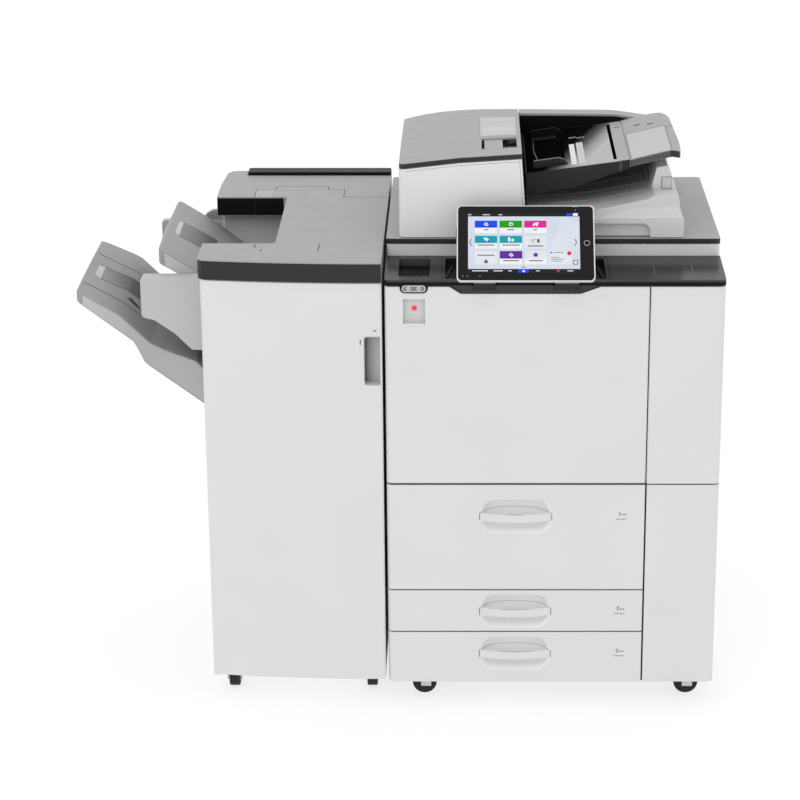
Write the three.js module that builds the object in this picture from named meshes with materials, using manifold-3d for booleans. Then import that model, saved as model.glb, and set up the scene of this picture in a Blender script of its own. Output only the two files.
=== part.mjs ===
// A floor-standing photocopier: main unit with three paper drawers, document feeder, touch panel
// and side finisher. Millimetres. While the pieces are laid out, X is 0 at the main unit's left
// side, Y is 0 at its front panels and Z is 0 at the floor. At the end the whole assembly is moved
// so that its origin is the centre of its footprint.
import * as THREE from "three";
import { mergeVertices } from "three/addons/utils/BufferGeometryUtils.js";
import Module from "manifold-3d";

const wasm = await Module();
wasm.setup();

// Overall body of the main unit
const MAIN_WIDTH = 690;
const MAIN_BACK = 850;
const SKIRT_Z = 51;
const DOOR_RIGHT = 536.5;
const PILLAR_LEFT = 539.5;
const CORNER = 11;
const SKIN = 3.5;
const SEAM = 1.5;
const DOOR_LOW = 505;
const GAP = 0.4;
const DECK_Z = 502;
const LIP_Z = 932.5;
// Scanner and feeder
const SCANNER_FRONT = 149;
const SCANNER_BACK = 655;
const PLATEN_Z = 989;
const FEEDER_LEFT = 27;
const FEEDER_RIGHT = 614;
const FEEDER_FRONT = 150;
const FEEDER_BACK = 598;
const FEEDER_BLOCK_RIGHT = 279;
const FEEDER_FLOOR_Z = 1003.5;
const HINGE_Y = 622;
const HINGE_Z = 1004;
// Operation panel, in its own tilted frame: X across, Y up the panel, Z out of the screen
const PANEL_LEFT = 146;
const PANEL_RIGHT = 425.5;
const PANEL_LOW = 5.5;
const PANEL_HEIGHT = 177;
const PANEL_TILT = THREE.MathUtils.degToRad(48);
const PANEL_AXIS_Y = -5;
const PANEL_AXIS_Z = 931;
const PANEL_FACE = 13.45;
// Finisher
const FIN_LEFT = -376;
const FIN_RIGHT = -6;
const FIN_BACK = 735;
const FIN_DOOR_BACK = 45;
const FIN_TOP = 980;
const FIN_BAND_Z = 938;
const BOW_RADIUS = 2350;
const BOW_APEX_X = -30;
// Wheels
const WHEEL_R = 26;
const WHEEL_WIDTH = 22;
const TRAIL = 14;

const paint = (color, roughness = 0.5, metalness = 0) =>
  new THREE.MeshStandardMaterial({ color, roughness, metalness });
const MATERIALS = {
  white: paint(0xe2e2e3, 0.45),
  warmWhite: paint(0xd4d5d6, 0.5),
  grey: paint(0xa9aaab, 0.5),
  midGrey: paint(0x8f9091, 0.55),
  dark: paint(0x2b2b2c, 0.5),
  black: paint(0x111112, 0.3),
  steel: paint(0xb8bcc0, 0.4, 0.9),
  glass: paint(0x9fb6bd, 0.05),
  rubber: paint(0x1c1c1c, 0.85),
  drum: paint(0x2f6f5a, 0.25),
  pad: paint(0xf4f4f2, 0.8),
};

// ---- solids ----

// A closed three.js geometry as a solid that can be joined and cut.
function solid(geometry) {
  const bare = new THREE.BufferGeometry();
  const flat = geometry.index ? geometry.toNonIndexed() : geometry;
  bare.setAttribute("position", flat.getAttribute("position"));
  const merged = mergeVertices(bare, 1e-3);
  return new wasm.Manifold(
    new wasm.Mesh({
      numProp: 3,
      vertProperties: merged.getAttribute("position").array,
      triVerts: new Uint32Array(merged.index.array),
    }),
  );
}

function join(first, ...rest) {
  return rest.reduce((whole, piece) => whole.add(piece), first);
}

function cut(first, ...rest) {
  return rest.reduce((whole, piece) => whole.subtract(piece), first);
}

// A named mesh of a solid.
function mesh(name, body, material) {
  const data = body.getMesh();
  const geometry = new THREE.BufferGeometry();
  geometry.setAttribute("position", new THREE.BufferAttribute(data.vertProperties, 3));
  geometry.setIndex(new THREE.BufferAttribute(data.triVerts, 1));
  geometry.computeVertexNormals();
  const made = new THREE.Mesh(geometry, MATERIALS[material]);
  made.name = name;
  return made;
}

function box(x0, x1, y0, y1, z0, z1) {
  const geometry = new THREE.BoxGeometry(x1 - x0, y1 - y0, z1 - z0);
  geometry.translate((x0 + x1) / 2, (y0 + y1) / 2, (z0 + z1) / 2);
  return solid(geometry);
}

// A closed outline through corners [x, y, radius], each rounded by an arc.
function outline(corners, steps = 5) {
  const points = [];
  corners.forEach(([x, y, radius = 0], i) => {
    const here = new THREE.Vector2(x, y);
    if (!radius) {
      points.push(here);
      return;
    }
    const before = corners.at(i - 1);
    const after = corners[(i + 1) % corners.length];
    const back = new THREE.Vector2(before[0] - x, before[1] - y).normalize();
    const ahead = new THREE.Vector2(after[0] - x, after[1] - y).normalize();
    const half = Math.acos(THREE.MathUtils.clamp(back.dot(ahead), -1, 1)) / 2;
    const middle = back.clone().add(ahead).normalize();
    const centre = here.clone().addScaledVector(middle, radius / Math.sin(half));
    const start = here.clone().addScaledVector(back, radius / Math.tan(half)).sub(centre);
    const end = here.clone().addScaledVector(ahead, radius / Math.tan(half)).sub(centre);
    const from = start.angle();
    let sweep = end.angle() - from;
    if (sweep > Math.PI) sweep -= 2 * Math.PI;
    if (sweep < -Math.PI) sweep += 2 * Math.PI;
    for (let k = 0; k <= steps; k++) {
      const angle = from + (sweep * k) / steps;
      points.push(new THREE.Vector2(Math.cos(angle), Math.sin(angle)).multiplyScalar(radius).add(centre));
    }
  });
  return new THREE.Shape(points);
}

const rect = (x0, x1, y0, y1, radius = 0) =>
  outline([
    [x0, y0, radius],
    [x1, y0, radius],
    [x1, y1, radius],
    [x0, y1, radius],
  ]);

function extrude(shape, depth) {
  return new THREE.ExtrudeGeometry(shape, { depth, bevelEnabled: false });
}

// Prisms of a shape drawn in XY, in XZ or in YZ, along the axis that is left.
function prismZ(shape, z0, z1) {
  return solid(extrude(shape, z1 - z0).translate(0, 0, z0));
}

function prismY(shape, y0, y1) {
  return solid(extrude(shape, y1 - y0).rotateX(Math.PI / 2).translate(0, y1, 0));
}

function prismX(shape, x0, x1) {
  const turn = new THREE.Matrix4().set(0, 0, 1, x0, 1, 0, 0, 0, 0, 1, 0, 0, 0, 0, 0, 1);
  return solid(extrude(shape, x1 - x0).applyMatrix4(turn));
}

// Round bars along X, Y or Z; a and b are the centre's other two coordinates, in X, Y, Z order.
function rod(axis, radius, low, high, a, b, sides = 24) {
  const geometry = new THREE.CylinderGeometry(radius, radius, high - low, sides);
  const middle = (low + high) / 2;
  if (axis === "x") geometry.rotateZ(Math.PI / 2).translate(middle, a, b);
  if (axis === "y") geometry.translate(a, middle, b);
  if (axis === "z") geometry.rotateX(Math.PI / 2).translate(a, b, middle);
  return solid(geometry);
}

// A bowl pressed into a front face at Y = 0: widest at the face, its walls curving in to a smaller floor.
function bowl(x0, x1, z0, z1, depth, radius, slope) {
  const floor = rect(x0 + slope, x1 - slope, z0 + slope, z1 - slope, radius - slope);
  const geometry = new THREE.ExtrudeGeometry(floor, {
    depth: 1,
    bevelEnabled: true,
    bevelThickness: depth,
    bevelSize: slope,
    bevelSegments: 4,
  });
  return solid(geometry.rotateX(Math.PI / 2));
}

// A slab over the rectangle x0..x1, y0..y1 between two height functions of (x, y).
function heightSlab(xs, ys, top, bottom) {
  const positions = [];
  const at = (x, y, height) => new THREE.Vector3(x, y, height(x, y));
  const quad = (a, b, c, d) => [a, b, c, a, c, d].forEach((p) => positions.push(p.x, p.y, p.z));
  for (let i = 0; i + 1 < xs.length; i++) {
    for (let j = 0; j + 1 < ys.length; j++) {
      const [x0, x1, y0, y1] = [xs[i], xs[i + 1], ys[j], ys[j + 1]];
      quad(at(x0, y0, top), at(x1, y0, top), at(x1, y1, top), at(x0, y1, top));
      quad(at(x0, y0, bottom), at(x0, y1, bottom), at(x1, y1, bottom), at(x1, y0, bottom));
    }
    const [x0, x1, y0, y1] = [xs[i], xs[i + 1], ys[0], ys.at(-1)];
    quad(at(x0, y0, bottom), at(x1, y0, bottom), at(x1, y0, top), at(x0, y0, top));
    quad(at(x1, y1, bottom), at(x0, y1, bottom), at(x0, y1, top), at(x1, y1, top));
  }
  for (let j = 0; j + 1 < ys.length; j++) {
    const [y0, y1, x0, x1] = [ys[j], ys[j + 1], xs[0], xs.at(-1)];
    quad(at(x0, y1, bottom), at(x0, y0, bottom), at(x0, y0, top), at(x0, y1, top));
    quad(at(x1, y0, bottom), at(x1, y1, bottom), at(x1, y1, top), at(x1, y0, top));
  }
  const geometry = new THREE.BufferGeometry();
  geometry.setAttribute("position", new THREE.Float32BufferAttribute(positions, 3));
  return solid(geometry);
}

// Evenly spaced values from low to high.
const spread = (low, high, count) =>
  Array.from({ length: count + 1 }, (_, i) => low + ((high - low) * i) / count);

// A height that runs in straight stretches through the stations [x, z].
function along(stations, x) {
  const last = stations.length - 2;
  let i = 0;
  while (i < last && x > stations[i + 1][0]) i++;
  const [[x0, z0], [x1, z1]] = [stations[i], stations[i + 1]];
  return z0 + ((z1 - z0) * (x - x0)) / (x1 - x0);
}

function group(...children) {
  const made = new THREE.Group();
  made.add(...children.flat());
  return made;
}

// ---- main unit: frame and covers ----

const FRAME = { left: 6.5, right: 677.5, front: 36, back: 836, floor: 62, top: 925, sheet: 2.5 };
const CASTERS = { leftX: 75.7, rightX: 637, frontY: 61, backY: 780 };
const DOOR_PIN = { x: 529, y: 8, radius: 3 };
const BULKHEAD_Y = 440;
const DRUM = { x: 330, z: 720, radius: 50, shaft: 6 };
const TONER = { x: 150, z: 800, radius: 55, neck: 20 };
const FUSER = { x: 440, z: 820, radius: 25, shaft: 5 };
const PRESSURE_X = FUSER.x + 2 * FUSER.radius + 0.6;
const SHAFT_PLAY = 0.4;

// Fixed fork of a rear caster, hanging from the base plate.
function fixedFork(x, y, top) {
  const cheek = 4;
  const inner = WHEEL_WIDTH / 2 + 1;
  const side = (from) => box(from, from + cheek, y - 14, y + 14, WHEEL_R - 8, top);
  return join(
    side(x - inner - cheek),
    side(x + inner),
    box(x - inner - cheek, x + inner + cheek, y - 16, y + 16, top - 4, top + 0.5),
    rod("x", 4, x - inner - cheek, x + inner + cheek, y, WHEEL_R, 16),
  );
}

function mainFrame() {
  const { left, right, front, back, floor, top, sheet } = FRAME;
  const plates = [
    box(left, right, front, back, floor, floor + 4),
    box(left, left + sheet, front, back, floor, top),
    box(right - sheet, right, front, back, floor, top),
    box(PILLAR_LEFT + 1, PILLAR_LEFT + 1 + sheet, front, back, floor, top),
    box(left, right, back - sheet, back, floor, top),
    box(left, right, front, back, top - 3, top),
    box(left, PILLAR_LEFT + 2, front, back, DECK_Z + 2, DECK_Z + 6),
    box(left, PILLAR_LEFT + 2, front, back, 262.8, 265.2),
    box(left, PILLAR_LEFT + 2, front, back, 166.8, 169.2),
    box(left, PILLAR_LEFT + 2, BULKHEAD_Y, BULKHEAD_Y + 3, DECK_Z + 2, top),
  ];
  const hingeTongue = join(
    box(DOOR_PIN.x - 2.5, DOOR_PIN.x + 2.5, DOOR_PIN.y, front + 4, DECK_Z + 2, DECK_Z + 6),
    rod("z", 4.1, DECK_Z + 2, DECK_Z + 6, DOOR_PIN.x, DOOR_PIN.y),
    rod("z", DOOR_PIN.radius, DECK_Z + 2, DECK_Z + 16, DOOR_PIN.x, DOOR_PIN.y),
  );
  const swivelPads = [CASTERS.leftX, CASTERS.rightX].map((x) =>
    box(x + TRAIL - 18, x + TRAIL + 18, CASTERS.frontY - 18, CASTERS.frontY + 18, 57, floor + 1),
  );
  const forks = [CASTERS.leftX, CASTERS.rightX].map((x) => fixedFork(x, CASTERS.backY, floor));
  const stemHoles = [CASTERS.leftX, CASTERS.rightX].map((x) =>
    rod("z", 6 + SHAFT_PLAY, 50, 80, x + TRAIL, CASTERS.frontY),
  );
  const hole = (radius, x, z) => rod("y", radius + SHAFT_PLAY, BULKHEAD_Y - 2, BULKHEAD_Y + 6, x, z);
  const bearingHoles = [
    hole(DRUM.shaft, DRUM.x, DRUM.z),
    hole(TONER.neck, TONER.x, TONER.z),
    hole(FUSER.shaft, FUSER.x, FUSER.z),
    hole(FUSER.shaft, PRESSURE_X, FUSER.z),
  ];
  return cut(join(...plates, hingeTongue, ...swivelPads, ...forks), ...stemHoles, ...bearingHoles);
}

// Rows of slots right through a cover, for air. place(u, z) is a cutting box for one slot.
function louvres(count, firstZ, pitch, place) {
  return Array.from({ length: count }, (_, i) => place(firstZ + i * pitch));
}

function rearCover() {
  const rim = MAIN_BACK - 12;
  const plan = outline([
    [4, rim],
    [4, MAIN_BACK, 8],
    [686, MAIN_BACK, 8],
    [686, rim],
    [686 - SKIN, rim],
    [686 - SKIN, MAIN_BACK - SKIN, 8 - SKIN],
    [4 + SKIN, MAIN_BACK - SKIN, 8 - SKIN],
    [4 + SKIN, rim],
  ]);
  const slots = louvres(8, 640, 16, (z) => box(90, 250, MAIN_BACK - 20, MAIN_BACK + 5, z, z + 6));
  const fanSlots = louvres(6, 180, 16, (z) => box(430, 590, MAIN_BACK - 20, MAIN_BACK + 5, z, z + 6));
  const deck = box(4, FRAME.right, SCANNER_BACK + 2, MAIN_BACK - 1, FRAME.top + 1, LIP_Z);
  return cut(join(prismZ(plan, 70, LIP_Z - 1), deck), ...slots, ...fanSlots);
}

function leftCover() {
  const exitSlot = box(-5, 10, 150, 520, 800, 830);
  return cut(box(0, SKIN, 20, FRAME.back, SKIRT_Z + 16, 929), exitSlot);
}

function rightCover() {
  const slots = louvres(7, 760, 16, (z) => box(670, 700, 520, 700, z, z + 6));
  const inner = FRAME.right + GAP;
  const plan = outline([
    [inner, 47],
    [MAIN_WIDTH, 47],
    [MAIN_WIDTH, FRAME.back],
    [inner, FRAME.back],
    [inner, FRAME.back - SKIN],
    [MAIN_WIDTH - SKIN, FRAME.back - SKIN],
    [MAIN_WIDTH - SKIN, 47 + SKIN],
    [inner, 47 + SKIN],
  ]);
  return cut(prismZ(plan, SKIRT_Z, 929), ...slots);
}

// Front corner cover of the fixed strip at the right: a bent skin that wraps round the corner.
function pillarCover(z0, z1) {
  const plan = outline([
    [PILLAR_LEFT, 0, 2],
    [MAIN_WIDTH, 0, CORNER],
    [MAIN_WIDTH, 44],
    [MAIN_WIDTH - SKIN, 44],
    [MAIN_WIDTH - SKIN, SKIN, CORNER - SKIN],
    [PILLAR_LEFT + SKIN, SKIN],
    [PILLAR_LEFT + SKIN, 24],
    [PILLAR_LEFT, 24],
  ]);
  const ribs = [0.06, 0.5, 0.94].map((part) => {
    const z = z0 + (z1 - z0) * part;
    return box(PILLAR_LEFT + 1, MAIN_WIDTH - 2, SKIN - 1, 20, z - 1.5, z + 1.5);
  });
  return join(prismZ(plan, z0, z1), ...ribs);
}

// ---- main unit: front door and engine ----

const DOOR_TOP = [
  [0, 929.5],
  [131, 929.5, 4],
  [154, 914.6, 4],
  [397, 914.6, 4],
  [437, 929.5, 4],
  [DOOR_RIGHT, 929.5],
];

function frontDoor() {
  const face = outline([[0, DOOR_LOW], ...DOOR_TOP, [DOOR_RIGHT, DOOR_LOW]]);
  const plan = outline([
    [0, 18],
    [0, 0, CORNER],
    [DOOR_RIGHT, 0, 4],
    [DOOR_RIGHT, 18],
  ]);
  const blank = prismY(face, -1, 19).intersect(prismZ(plan, DECK_Z, LIP_Z));
  const hollow = box(9, 508, SKIN, 20, DOOR_LOW + 12, 902);
  const pull = join(
    box(37.5, 82, -2, 14, 849, 903),
    box(40, 80, 0, 14, 846, 850),
  );
  const pullBack = box(33, 86, 1, 17, 842, 906);
  const bezelNotch = prismY(rect(31, 88, 915.5, 940, 10), -2, 20);
  const tongueRoom = box(DOOR_PIN.x - 14, DOOR_RIGHT + 2, SKIN, 20, DECK_Z, DECK_Z + 10);
  const pinHoles = [
    rod("z", DOOR_PIN.radius + SHAFT_PLAY, DECK_Z, DECK_Z + 20, DOOR_PIN.x, DOOR_PIN.y),
    rod("z", DOOR_PIN.radius + SHAFT_PLAY, 916, 935, DOOR_PIN.x, DOOR_PIN.y),
  ];
  const leaf = join(cut(blank, hollow), pullBack.intersect(blank));
  return cut(leaf, pull, bezelNotch, tongueRoom, ...pinHoles);
}

function innerCover() {
  const hole = (radius, x, z) => rod("y", radius + SHAFT_PLAY, 20, 32, x, z);
  return cut(
    box(12, 537, 24, 27.5, DECK_Z + 10, 915),
    hole(TONER.radius - 10, TONER.x, TONER.z),
    hole(DRUM.shaft, DRUM.x, DRUM.z),
    hole(FUSER.shaft, FUSER.x, FUSER.z),
    hole(FUSER.shaft, PRESSURE_X, FUSER.z),
  );
}

function roller(radius, shaft, x, z, sides = 32) {
  return join(rod("y", radius, 60, 410, x, z, sides), rod("y", shaft, 24.5, BULKHEAD_Y + 2.5, x, z, 16));
}

function tonerBottle() {
  const { x, z, radius, neck } = TONER;
  const profile = [
    [0, 21],
    [radius - 12, 21],
    [radius - 12, 30],
    [radius, 36],
    [radius, 400],
    [neck, 415],
    [neck, BULKHEAD_Y + 2.5],
    [0, BULKHEAD_Y + 2.5],
  ].map(([r, y]) => new THREE.Vector2(r, y));
  return solid(new THREE.LatheGeometry(profile, 32).translate(x, 0, z));
}

// ---- paper drawers ----

const DRAWERS = [
  { low: 264, high: 502, grip: 432 },
  { low: 168, high: 264, grip: 217 },
  { low: SKIRT_Z - SEAM, high: 168, grip: 119 },
];
const GRIP = {
  left: 193.5,
  right: 342.5,
  half: 39.5,
  drop: 2,
  corner: 30,
  depth: 26,
  below: 16,
  above: 7,
};

function drawerFront({ low, high, grip }) {
  const [z0, z1] = [low + SEAM, high - SEAM];
  const plan = outline([
    [0, 16],
    [0, 0, CORNER],
    [DOOR_RIGHT, 0, 3],
    [DOOR_RIGHT, 16],
  ]);
  const blank = prismZ(plan, z0, z1);
  const hollow = box(9, DOOR_RIGHT - 6, SKIN, 20, z0 + 5, z1 - 5);
  const middle = grip - GRIP.drop;
  const bucketLow = Math.max(middle - GRIP.half - 5, z0);
  const bucketHigh = Math.min(middle + GRIP.half + 5, z1);
  const bucket = box(GRIP.left - 7, GRIP.right + 7, 1, GRIP.depth + 4, bucketLow, bucketHigh);
  const { left, right, half, depth, corner } = GRIP;
  const recess = bowl(left, right, middle - half, middle + half, depth, corner, 12);
  return cut(join(cut(blank, hollow), bucket), recess);
}

// Grip bar across the recess: bulges forward in the middle, with finger room behind it.
function drawerGrip({ grip }) {
  const middle = (GRIP.left + GRIP.right) / 2;
  const half = (GRIP.right - GRIP.left) / 2 - GAP;
  const bulge = 6;
  const front = spread(-1, 1, 12).map((t) => [middle + half * t, 1 - (1 + bulge) * (1 - t * t)]);
  const shape = outline([...front, [middle + half, 4], [middle, 8], [middle - half, 4]]);
  const reach = rect(
    GRIP.left + GAP,
    GRIP.right - GAP,
    grip - GRIP.drop - GRIP.half + GAP,
    grip - GRIP.drop + GRIP.half - GAP,
    GRIP.corner,
  );
  const bar = prismZ(shape, grip - GRIP.below, grip + GRIP.above);
  return bar.intersect(prismY(reach, -10, 14));
}

function drawerBox({ low, high }) {
  const [z0, z1] = [Math.max(low + 10, FRAME.floor + 6), high - 14];
  const railZ = (z0 + z1) / 2;
  const tray = cut(box(24, 524, 38, 600, z0, z1), box(26, 522, 40, 598, z0 + 2, z1 + 5));
  const rails = [
    box(14, 24.5, 45, 595, railZ - 7, railZ + 7),
    box(523.5, 534, 45, 595, railZ - 7, railZ + 7),
  ];
  const bridges = [
    box(40, 60, 26, 39, railZ - 10, railZ + 10),
    box(480, 500, 26, 39, railZ - 10, railZ + 10),
  ];
  return join(tray, ...rails, ...bridges);
}

function drawers() {
  return DRAWERS.flatMap((drawer, i) => {
    const name = `drawer_${i + 1}`;
    return [
      mesh(`${name}_front`, drawerFront(drawer), "white"),
      mesh(`${name}_grip`, drawerGrip(drawer), "white"),
      mesh(`${name}_box`, drawerBox(drawer), "steel"),
    ];
  });
}

// ---- control shelf and operation panel ----

const KNUCKLES = [
  [180, 224],
  [344, 393],
];

function controlShelf() {
  const profile = outline([
    [-3, LIP_Z],
    [147, LIP_Z],
    [147, 952],
    [-3, 943.5, 5],
  ]);
  const plan = outline([
    [0, 147],
    [0, -3, CORNER],
    [MAIN_WIDTH, -3, CORNER],
    [MAIN_WIDTH, 147],
  ]);
  const slab = prismX(profile, 0, MAIN_WIDTH).intersect(prismZ(plan, LIP_Z - 1, 960));
  const bulgeFace = outline([
    [130, LIP_Z + 1],
    [133.5, LIP_Z, 4],
    [156.5, 917.5, 4],
    [394.5, 917.5, 4],
    [434, LIP_Z, 4],
    [438, LIP_Z + 1],
  ]);
  const bezel = prismY(rect(34, 85, 918.5, LIP_Z + 4, 9), -3, 14);
  const pins = [
    rod("z", DOOR_PIN.radius, 919, LIP_Z + 1, DOOR_PIN.x, DOOR_PIN.y),
    ...KNUCKLES.map(([x0, x1]) => rod("x", 3, x0 - 3, x1 + 3, PANEL_AXIS_Y, PANEL_AXIS_Z)),
  ];
  const knuckleRoom = KNUCKLES.flatMap(([x0, x1]) => [
    rod("x", 9.4, x0 - 1, x1 + 1, PANEL_AXIS_Y, PANEL_AXIS_Z),
    box(x0 - 1, x1 + 1, -4, 9, PANEL_AXIS_Z, 950),
  ]);
  const pocket = prismZ(rect(28, 91, 22, 126, 5), 935.5, 960);
  const armRoom = prismZ(rect(122, 448, 8, 131, 4), 935.5, 960);
  const body = join(slab, prismY(bulgeFace, -3, 15), bezel);
  return join(cut(body, ...knuckleRoom, pocket, armRoom), ...pins);
}

const KEY = { x: 409.5, y: 91.5, radius: 7 };
const SCREEN_EDGE = 3;
const SCREEN_THICK = 2;

// Panel body in its own frame, whose origin is on the tilt axis.
function panelBody() {
  const side = outline([
    [PANEL_LOW, PANEL_FACE, 2],
    [PANEL_LOW, PANEL_FACE - 6.5, 2],
    [16, PANEL_FACE - 6.5],
    [40, PANEL_FACE - 18, 6],
    [165, PANEL_FACE - 18, 8],
    [PANEL_HEIGHT, PANEL_FACE - 12, 4],
    [PANEL_HEIGHT, PANEL_FACE, 2],
  ]);
  const slab = prismX(side, PANEL_LEFT, PANEL_RIGHT).intersect(
    prismZ(rect(PANEL_LEFT, PANEL_RIGHT, PANEL_LOW, PANEL_HEIGHT, 10), -10, 20),
  );
  const barrels = KNUCKLES.flatMap(([x0, x1]) => [
    rod("x", 8.4, x0, x1, 0, 0),
    box(x0, x1, 1, 14, 1.3, PANEL_FACE - 6),
  ]);
  const bores = KNUCKLES.map(([x0, x1]) => rod("x", 3 + SHAFT_PLAY, x0 - 5, x1 + 5, 0, 0));
  const e = SCREEN_EDGE - GAP;
  const screenRoom = prismZ(
    rect(PANEL_LEFT + e, PANEL_RIGHT - e, PANEL_LOW + e, PANEL_HEIGHT - e, 8),
    PANEL_FACE - SCREEN_THICK - GAP,
    PANEL_FACE + 2,
  );
  const keyRoom = rod("z", KEY.radius + GAP, PANEL_FACE - 7, PANEL_FACE + 2, KEY.x, KEY.y);
  return cut(join(slab, ...barrels), ...bores, screenRoom, keyRoom);
}

function panelDisplay() {
  const e = SCREEN_EDGE;
  const sheet = prismZ(
    rect(PANEL_LEFT + e, PANEL_RIGHT - e, PANEL_LOW + e, PANEL_HEIGHT - e, 8),
    PANEL_FACE - SCREEN_THICK,
    PANEL_FACE,
  );
  return cut(sheet, rod("z", KEY.radius + GAP, 0, PANEL_FACE + 2, KEY.x, KEY.y));
}

function operationPanel() {
  const key = rod("z", KEY.radius, PANEL_FACE - 5, PANEL_FACE, KEY.x, KEY.y);
  const panel = group(
    mesh("operation_panel", panelBody(), "warmWhite"),
    mesh("panel_display", panelDisplay(), "black"),
    mesh("panel_key", key, "dark"),
  );
  panel.position.set(0, PANEL_AXIS_Y, PANEL_AXIS_Z);
  panel.rotation.x = PANEL_TILT;
  return panel;
}

// ---- scanner ----

const GLASS = { left: 70, right: 510, front: 200, back: 500 };
const RAIL_YS = [240, 560];
const RAIL_Z = 952;

function scannerHousing() {
  const plan = rect(0.5, MAIN_WIDTH - 0.5, SCANNER_FRONT, SCANNER_BACK, 6);
  const tray = cut(
    prismZ(plan, LIP_Z + 0.5, 976.7),
    box(4, MAIN_WIDTH - 4, SCANNER_FRONT + 4, SCANNER_BACK - 4, LIP_Z + 3.5, 980),
  );
  return join(tray, ...RAIL_YS.map((y) => rod("x", 4, 2, MAIN_WIDTH - 2, y, RAIL_Z, 12)));
}

function scannerTopFrame() {
  const plan = rect(0, MAIN_WIDTH, SCANNER_FRONT - 1, SCANNER_BACK, 7);
  const { left, right, front, back } = GLASS;
  return cut(
    prismZ(plan, 977, PLATEN_Z),
    box(left + 4, right - 4, front + 4, back - 4, 970, PLATEN_Z + 5),
    box(left - GAP, right + GAP, front - GAP, back + GAP, PLATEN_Z - 4, PLATEN_Z + 5),
  );
}

function scanCarriage() {
  const body = cut(box(40, 90, 175, 630, 940, 970), box(48, 82, 190, 615, 962, 975));
  return cut(body, ...RAIL_YS.map((y) => rod("x", 4 + SHAFT_PLAY, 30, 100, y, RAIL_Z, 16)));
}

// ---- document feeder ----

const HINGE_XS = [95, 525];
const BAND = 10;
const ARCH_Z = 1158;
const WHITE_TOP = [
  [FEEDER_LEFT, 1133],
  [150, 1147],
  [290, 1156],
];
const NOTCH = { left: 144, right: 545, top: 1020 };
const PICKUP = { x: 246, z: 1128, radius: 12, shaft: 3 };
const TRAY_PIN = { x: 295, z: 1103, radius: 3.5 };

// Height of the grey top cover: highest at the front right, falling to the back and rounded down
// to the left end.
function crown(x, y) {
  const across = THREE.MathUtils.clamp((x - FEEDER_LEFT) / (FEEDER_BLOCK_RIGHT - FEEDER_LEFT), 0, 1);
  const back = THREE.MathUtils.clamp((y - FEEDER_FRONT) / (FEEDER_BACK - FEEDER_FRONT), 0, 1);
  const backEdge = ARCH_Z - 23.5 * (1 - across) ** 3.2;
  const straight = THREE.MathUtils.lerp(along(WHITE_TOP, x) + BAND + 2, backEdge, back);
  return straight + 2.5 * Math.sin(Math.PI * back);
}

function hingeBracket(x) {
  const post = prismX(
    outline([
      [HINGE_Y - 15, PLATEN_Z + 0.4],
      [HINGE_Y + 15, PLATEN_Z + 0.4],
      [HINGE_Y + 9, HINGE_Z + 9, 6],
      [HINGE_Y - 9, HINGE_Z + 9, 6],
    ]),
    x,
    x + 32,
  );
  return join(post, rod("x", 4, x - 12, x + 44, HINGE_Y, HINGE_Z));
}

function feederBase() {
  const plate = cut(
    box(FEEDER_LEFT + 5, FEEDER_RIGHT - 6, FEEDER_FRONT + 19, FEEDER_BACK - 5, 990, FEEDER_FLOOR_Z - 0.5),
    box(60 - GAP, 520 + GAP, 190 - GAP, 510 + GAP, 980, 992.8),
  );
  const ears = HINGE_XS.flatMap((x) =>
    [x - 10.5, x + 33.5].map((left) =>
      join(
        box(left, left + 9, FEEDER_BACK - 8, HINGE_Y, HINGE_Z - 9, FEEDER_FLOOR_Z - 0.5),
        rod("x", 9, left, left + 9, HINGE_Y, HINGE_Z),
      ),
    ),
  );
  const bores = HINGE_XS.map((x) => rod("x", 4 + SHAFT_PLAY, x - 14, x + 46, HINGE_Y, HINGE_Z));
  return cut(join(plate, ...ears), ...bores);
}

// Recess along the front of the lid's skirt, for the fingers that lift it.
function liftNotch() {
  const face = outline([
    [NOTCH.left, 980],
    [NOTCH.right, 980],
    [NOTCH.right, NOTCH.top, 16],
    [NOTCH.left, NOTCH.top, 16],
  ]);
  return prismY(face, FEEDER_FRONT - 5, FEEDER_FRONT + 13);
}

function feederLeftCover() {
  const face = outline([
    [FEEDER_LEFT, 990.5, 3],
    [FEEDER_LEFT, 1133],
    [150, 1147],
    [FEEDER_BLOCK_RIGHT, 1155.3],
    [FEEDER_BLOCK_RIGHT + 12, 990.5],
  ]);
  const plan = outline([
    [FEEDER_LEFT, 557],
    [FEEDER_LEFT, FEEDER_FRONT, 13],
    [FEEDER_BLOCK_RIGHT + 14, FEEDER_FRONT],
    [FEEDER_BLOCK_RIGHT + 14, 557],
  ]);
  const blank = prismY(face, FEEDER_FRONT - 1, 556).intersect(prismZ(plan, 980, 1200));
  const inside = box(FEEDER_LEFT + 4, 300, FEEDER_FRONT + 18, 560, 980, 1200);
  const bearing = rod("y", PICKUP.shaft + SHAFT_PLAY, FEEDER_FRONT + 10, 180, PICKUP.x, PICKUP.z, 16);
  return cut(blank, inside, liftNotch(), bearing);
}

function feederOutputTray() {
  const lower = outline([
    [292, 990.5],
    [FEEDER_RIGHT, 990.5, 3],
    [FEEDER_RIGHT, 1029, 4],
    [292, 1029],
  ]);
  const upper = outline([
    [292, 1024],
    [609, 1024],
    [603, 1071, 8],
    [585, 1118, 20],
    [582, 1126],
    [560, 1122],
    [548, 1072, 20],
    [430, 1047, 40],
    [292, 1036],
  ]);
  const wing = prismY(upper, FEEDER_FRONT + 4, 556);
  const front = box(540, 620, FEEDER_FRONT, 215, 1076, 1140);
  const inside = outline([
    [280, 980],
    [FEEDER_RIGHT - 5, 980],
    [FEEDER_RIGHT - 5, 1025],
    [598, 1063],
    [540, 1063, 20],
    [430, 1042, 40],
    [280, 1030],
  ]);
  const hollow = prismY(inside, FEEDER_FRONT + 18, 560);
  return cut(join(prismY(lower, FEEDER_FRONT, 556), wing), front, hollow, liftNotch());
}

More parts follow.
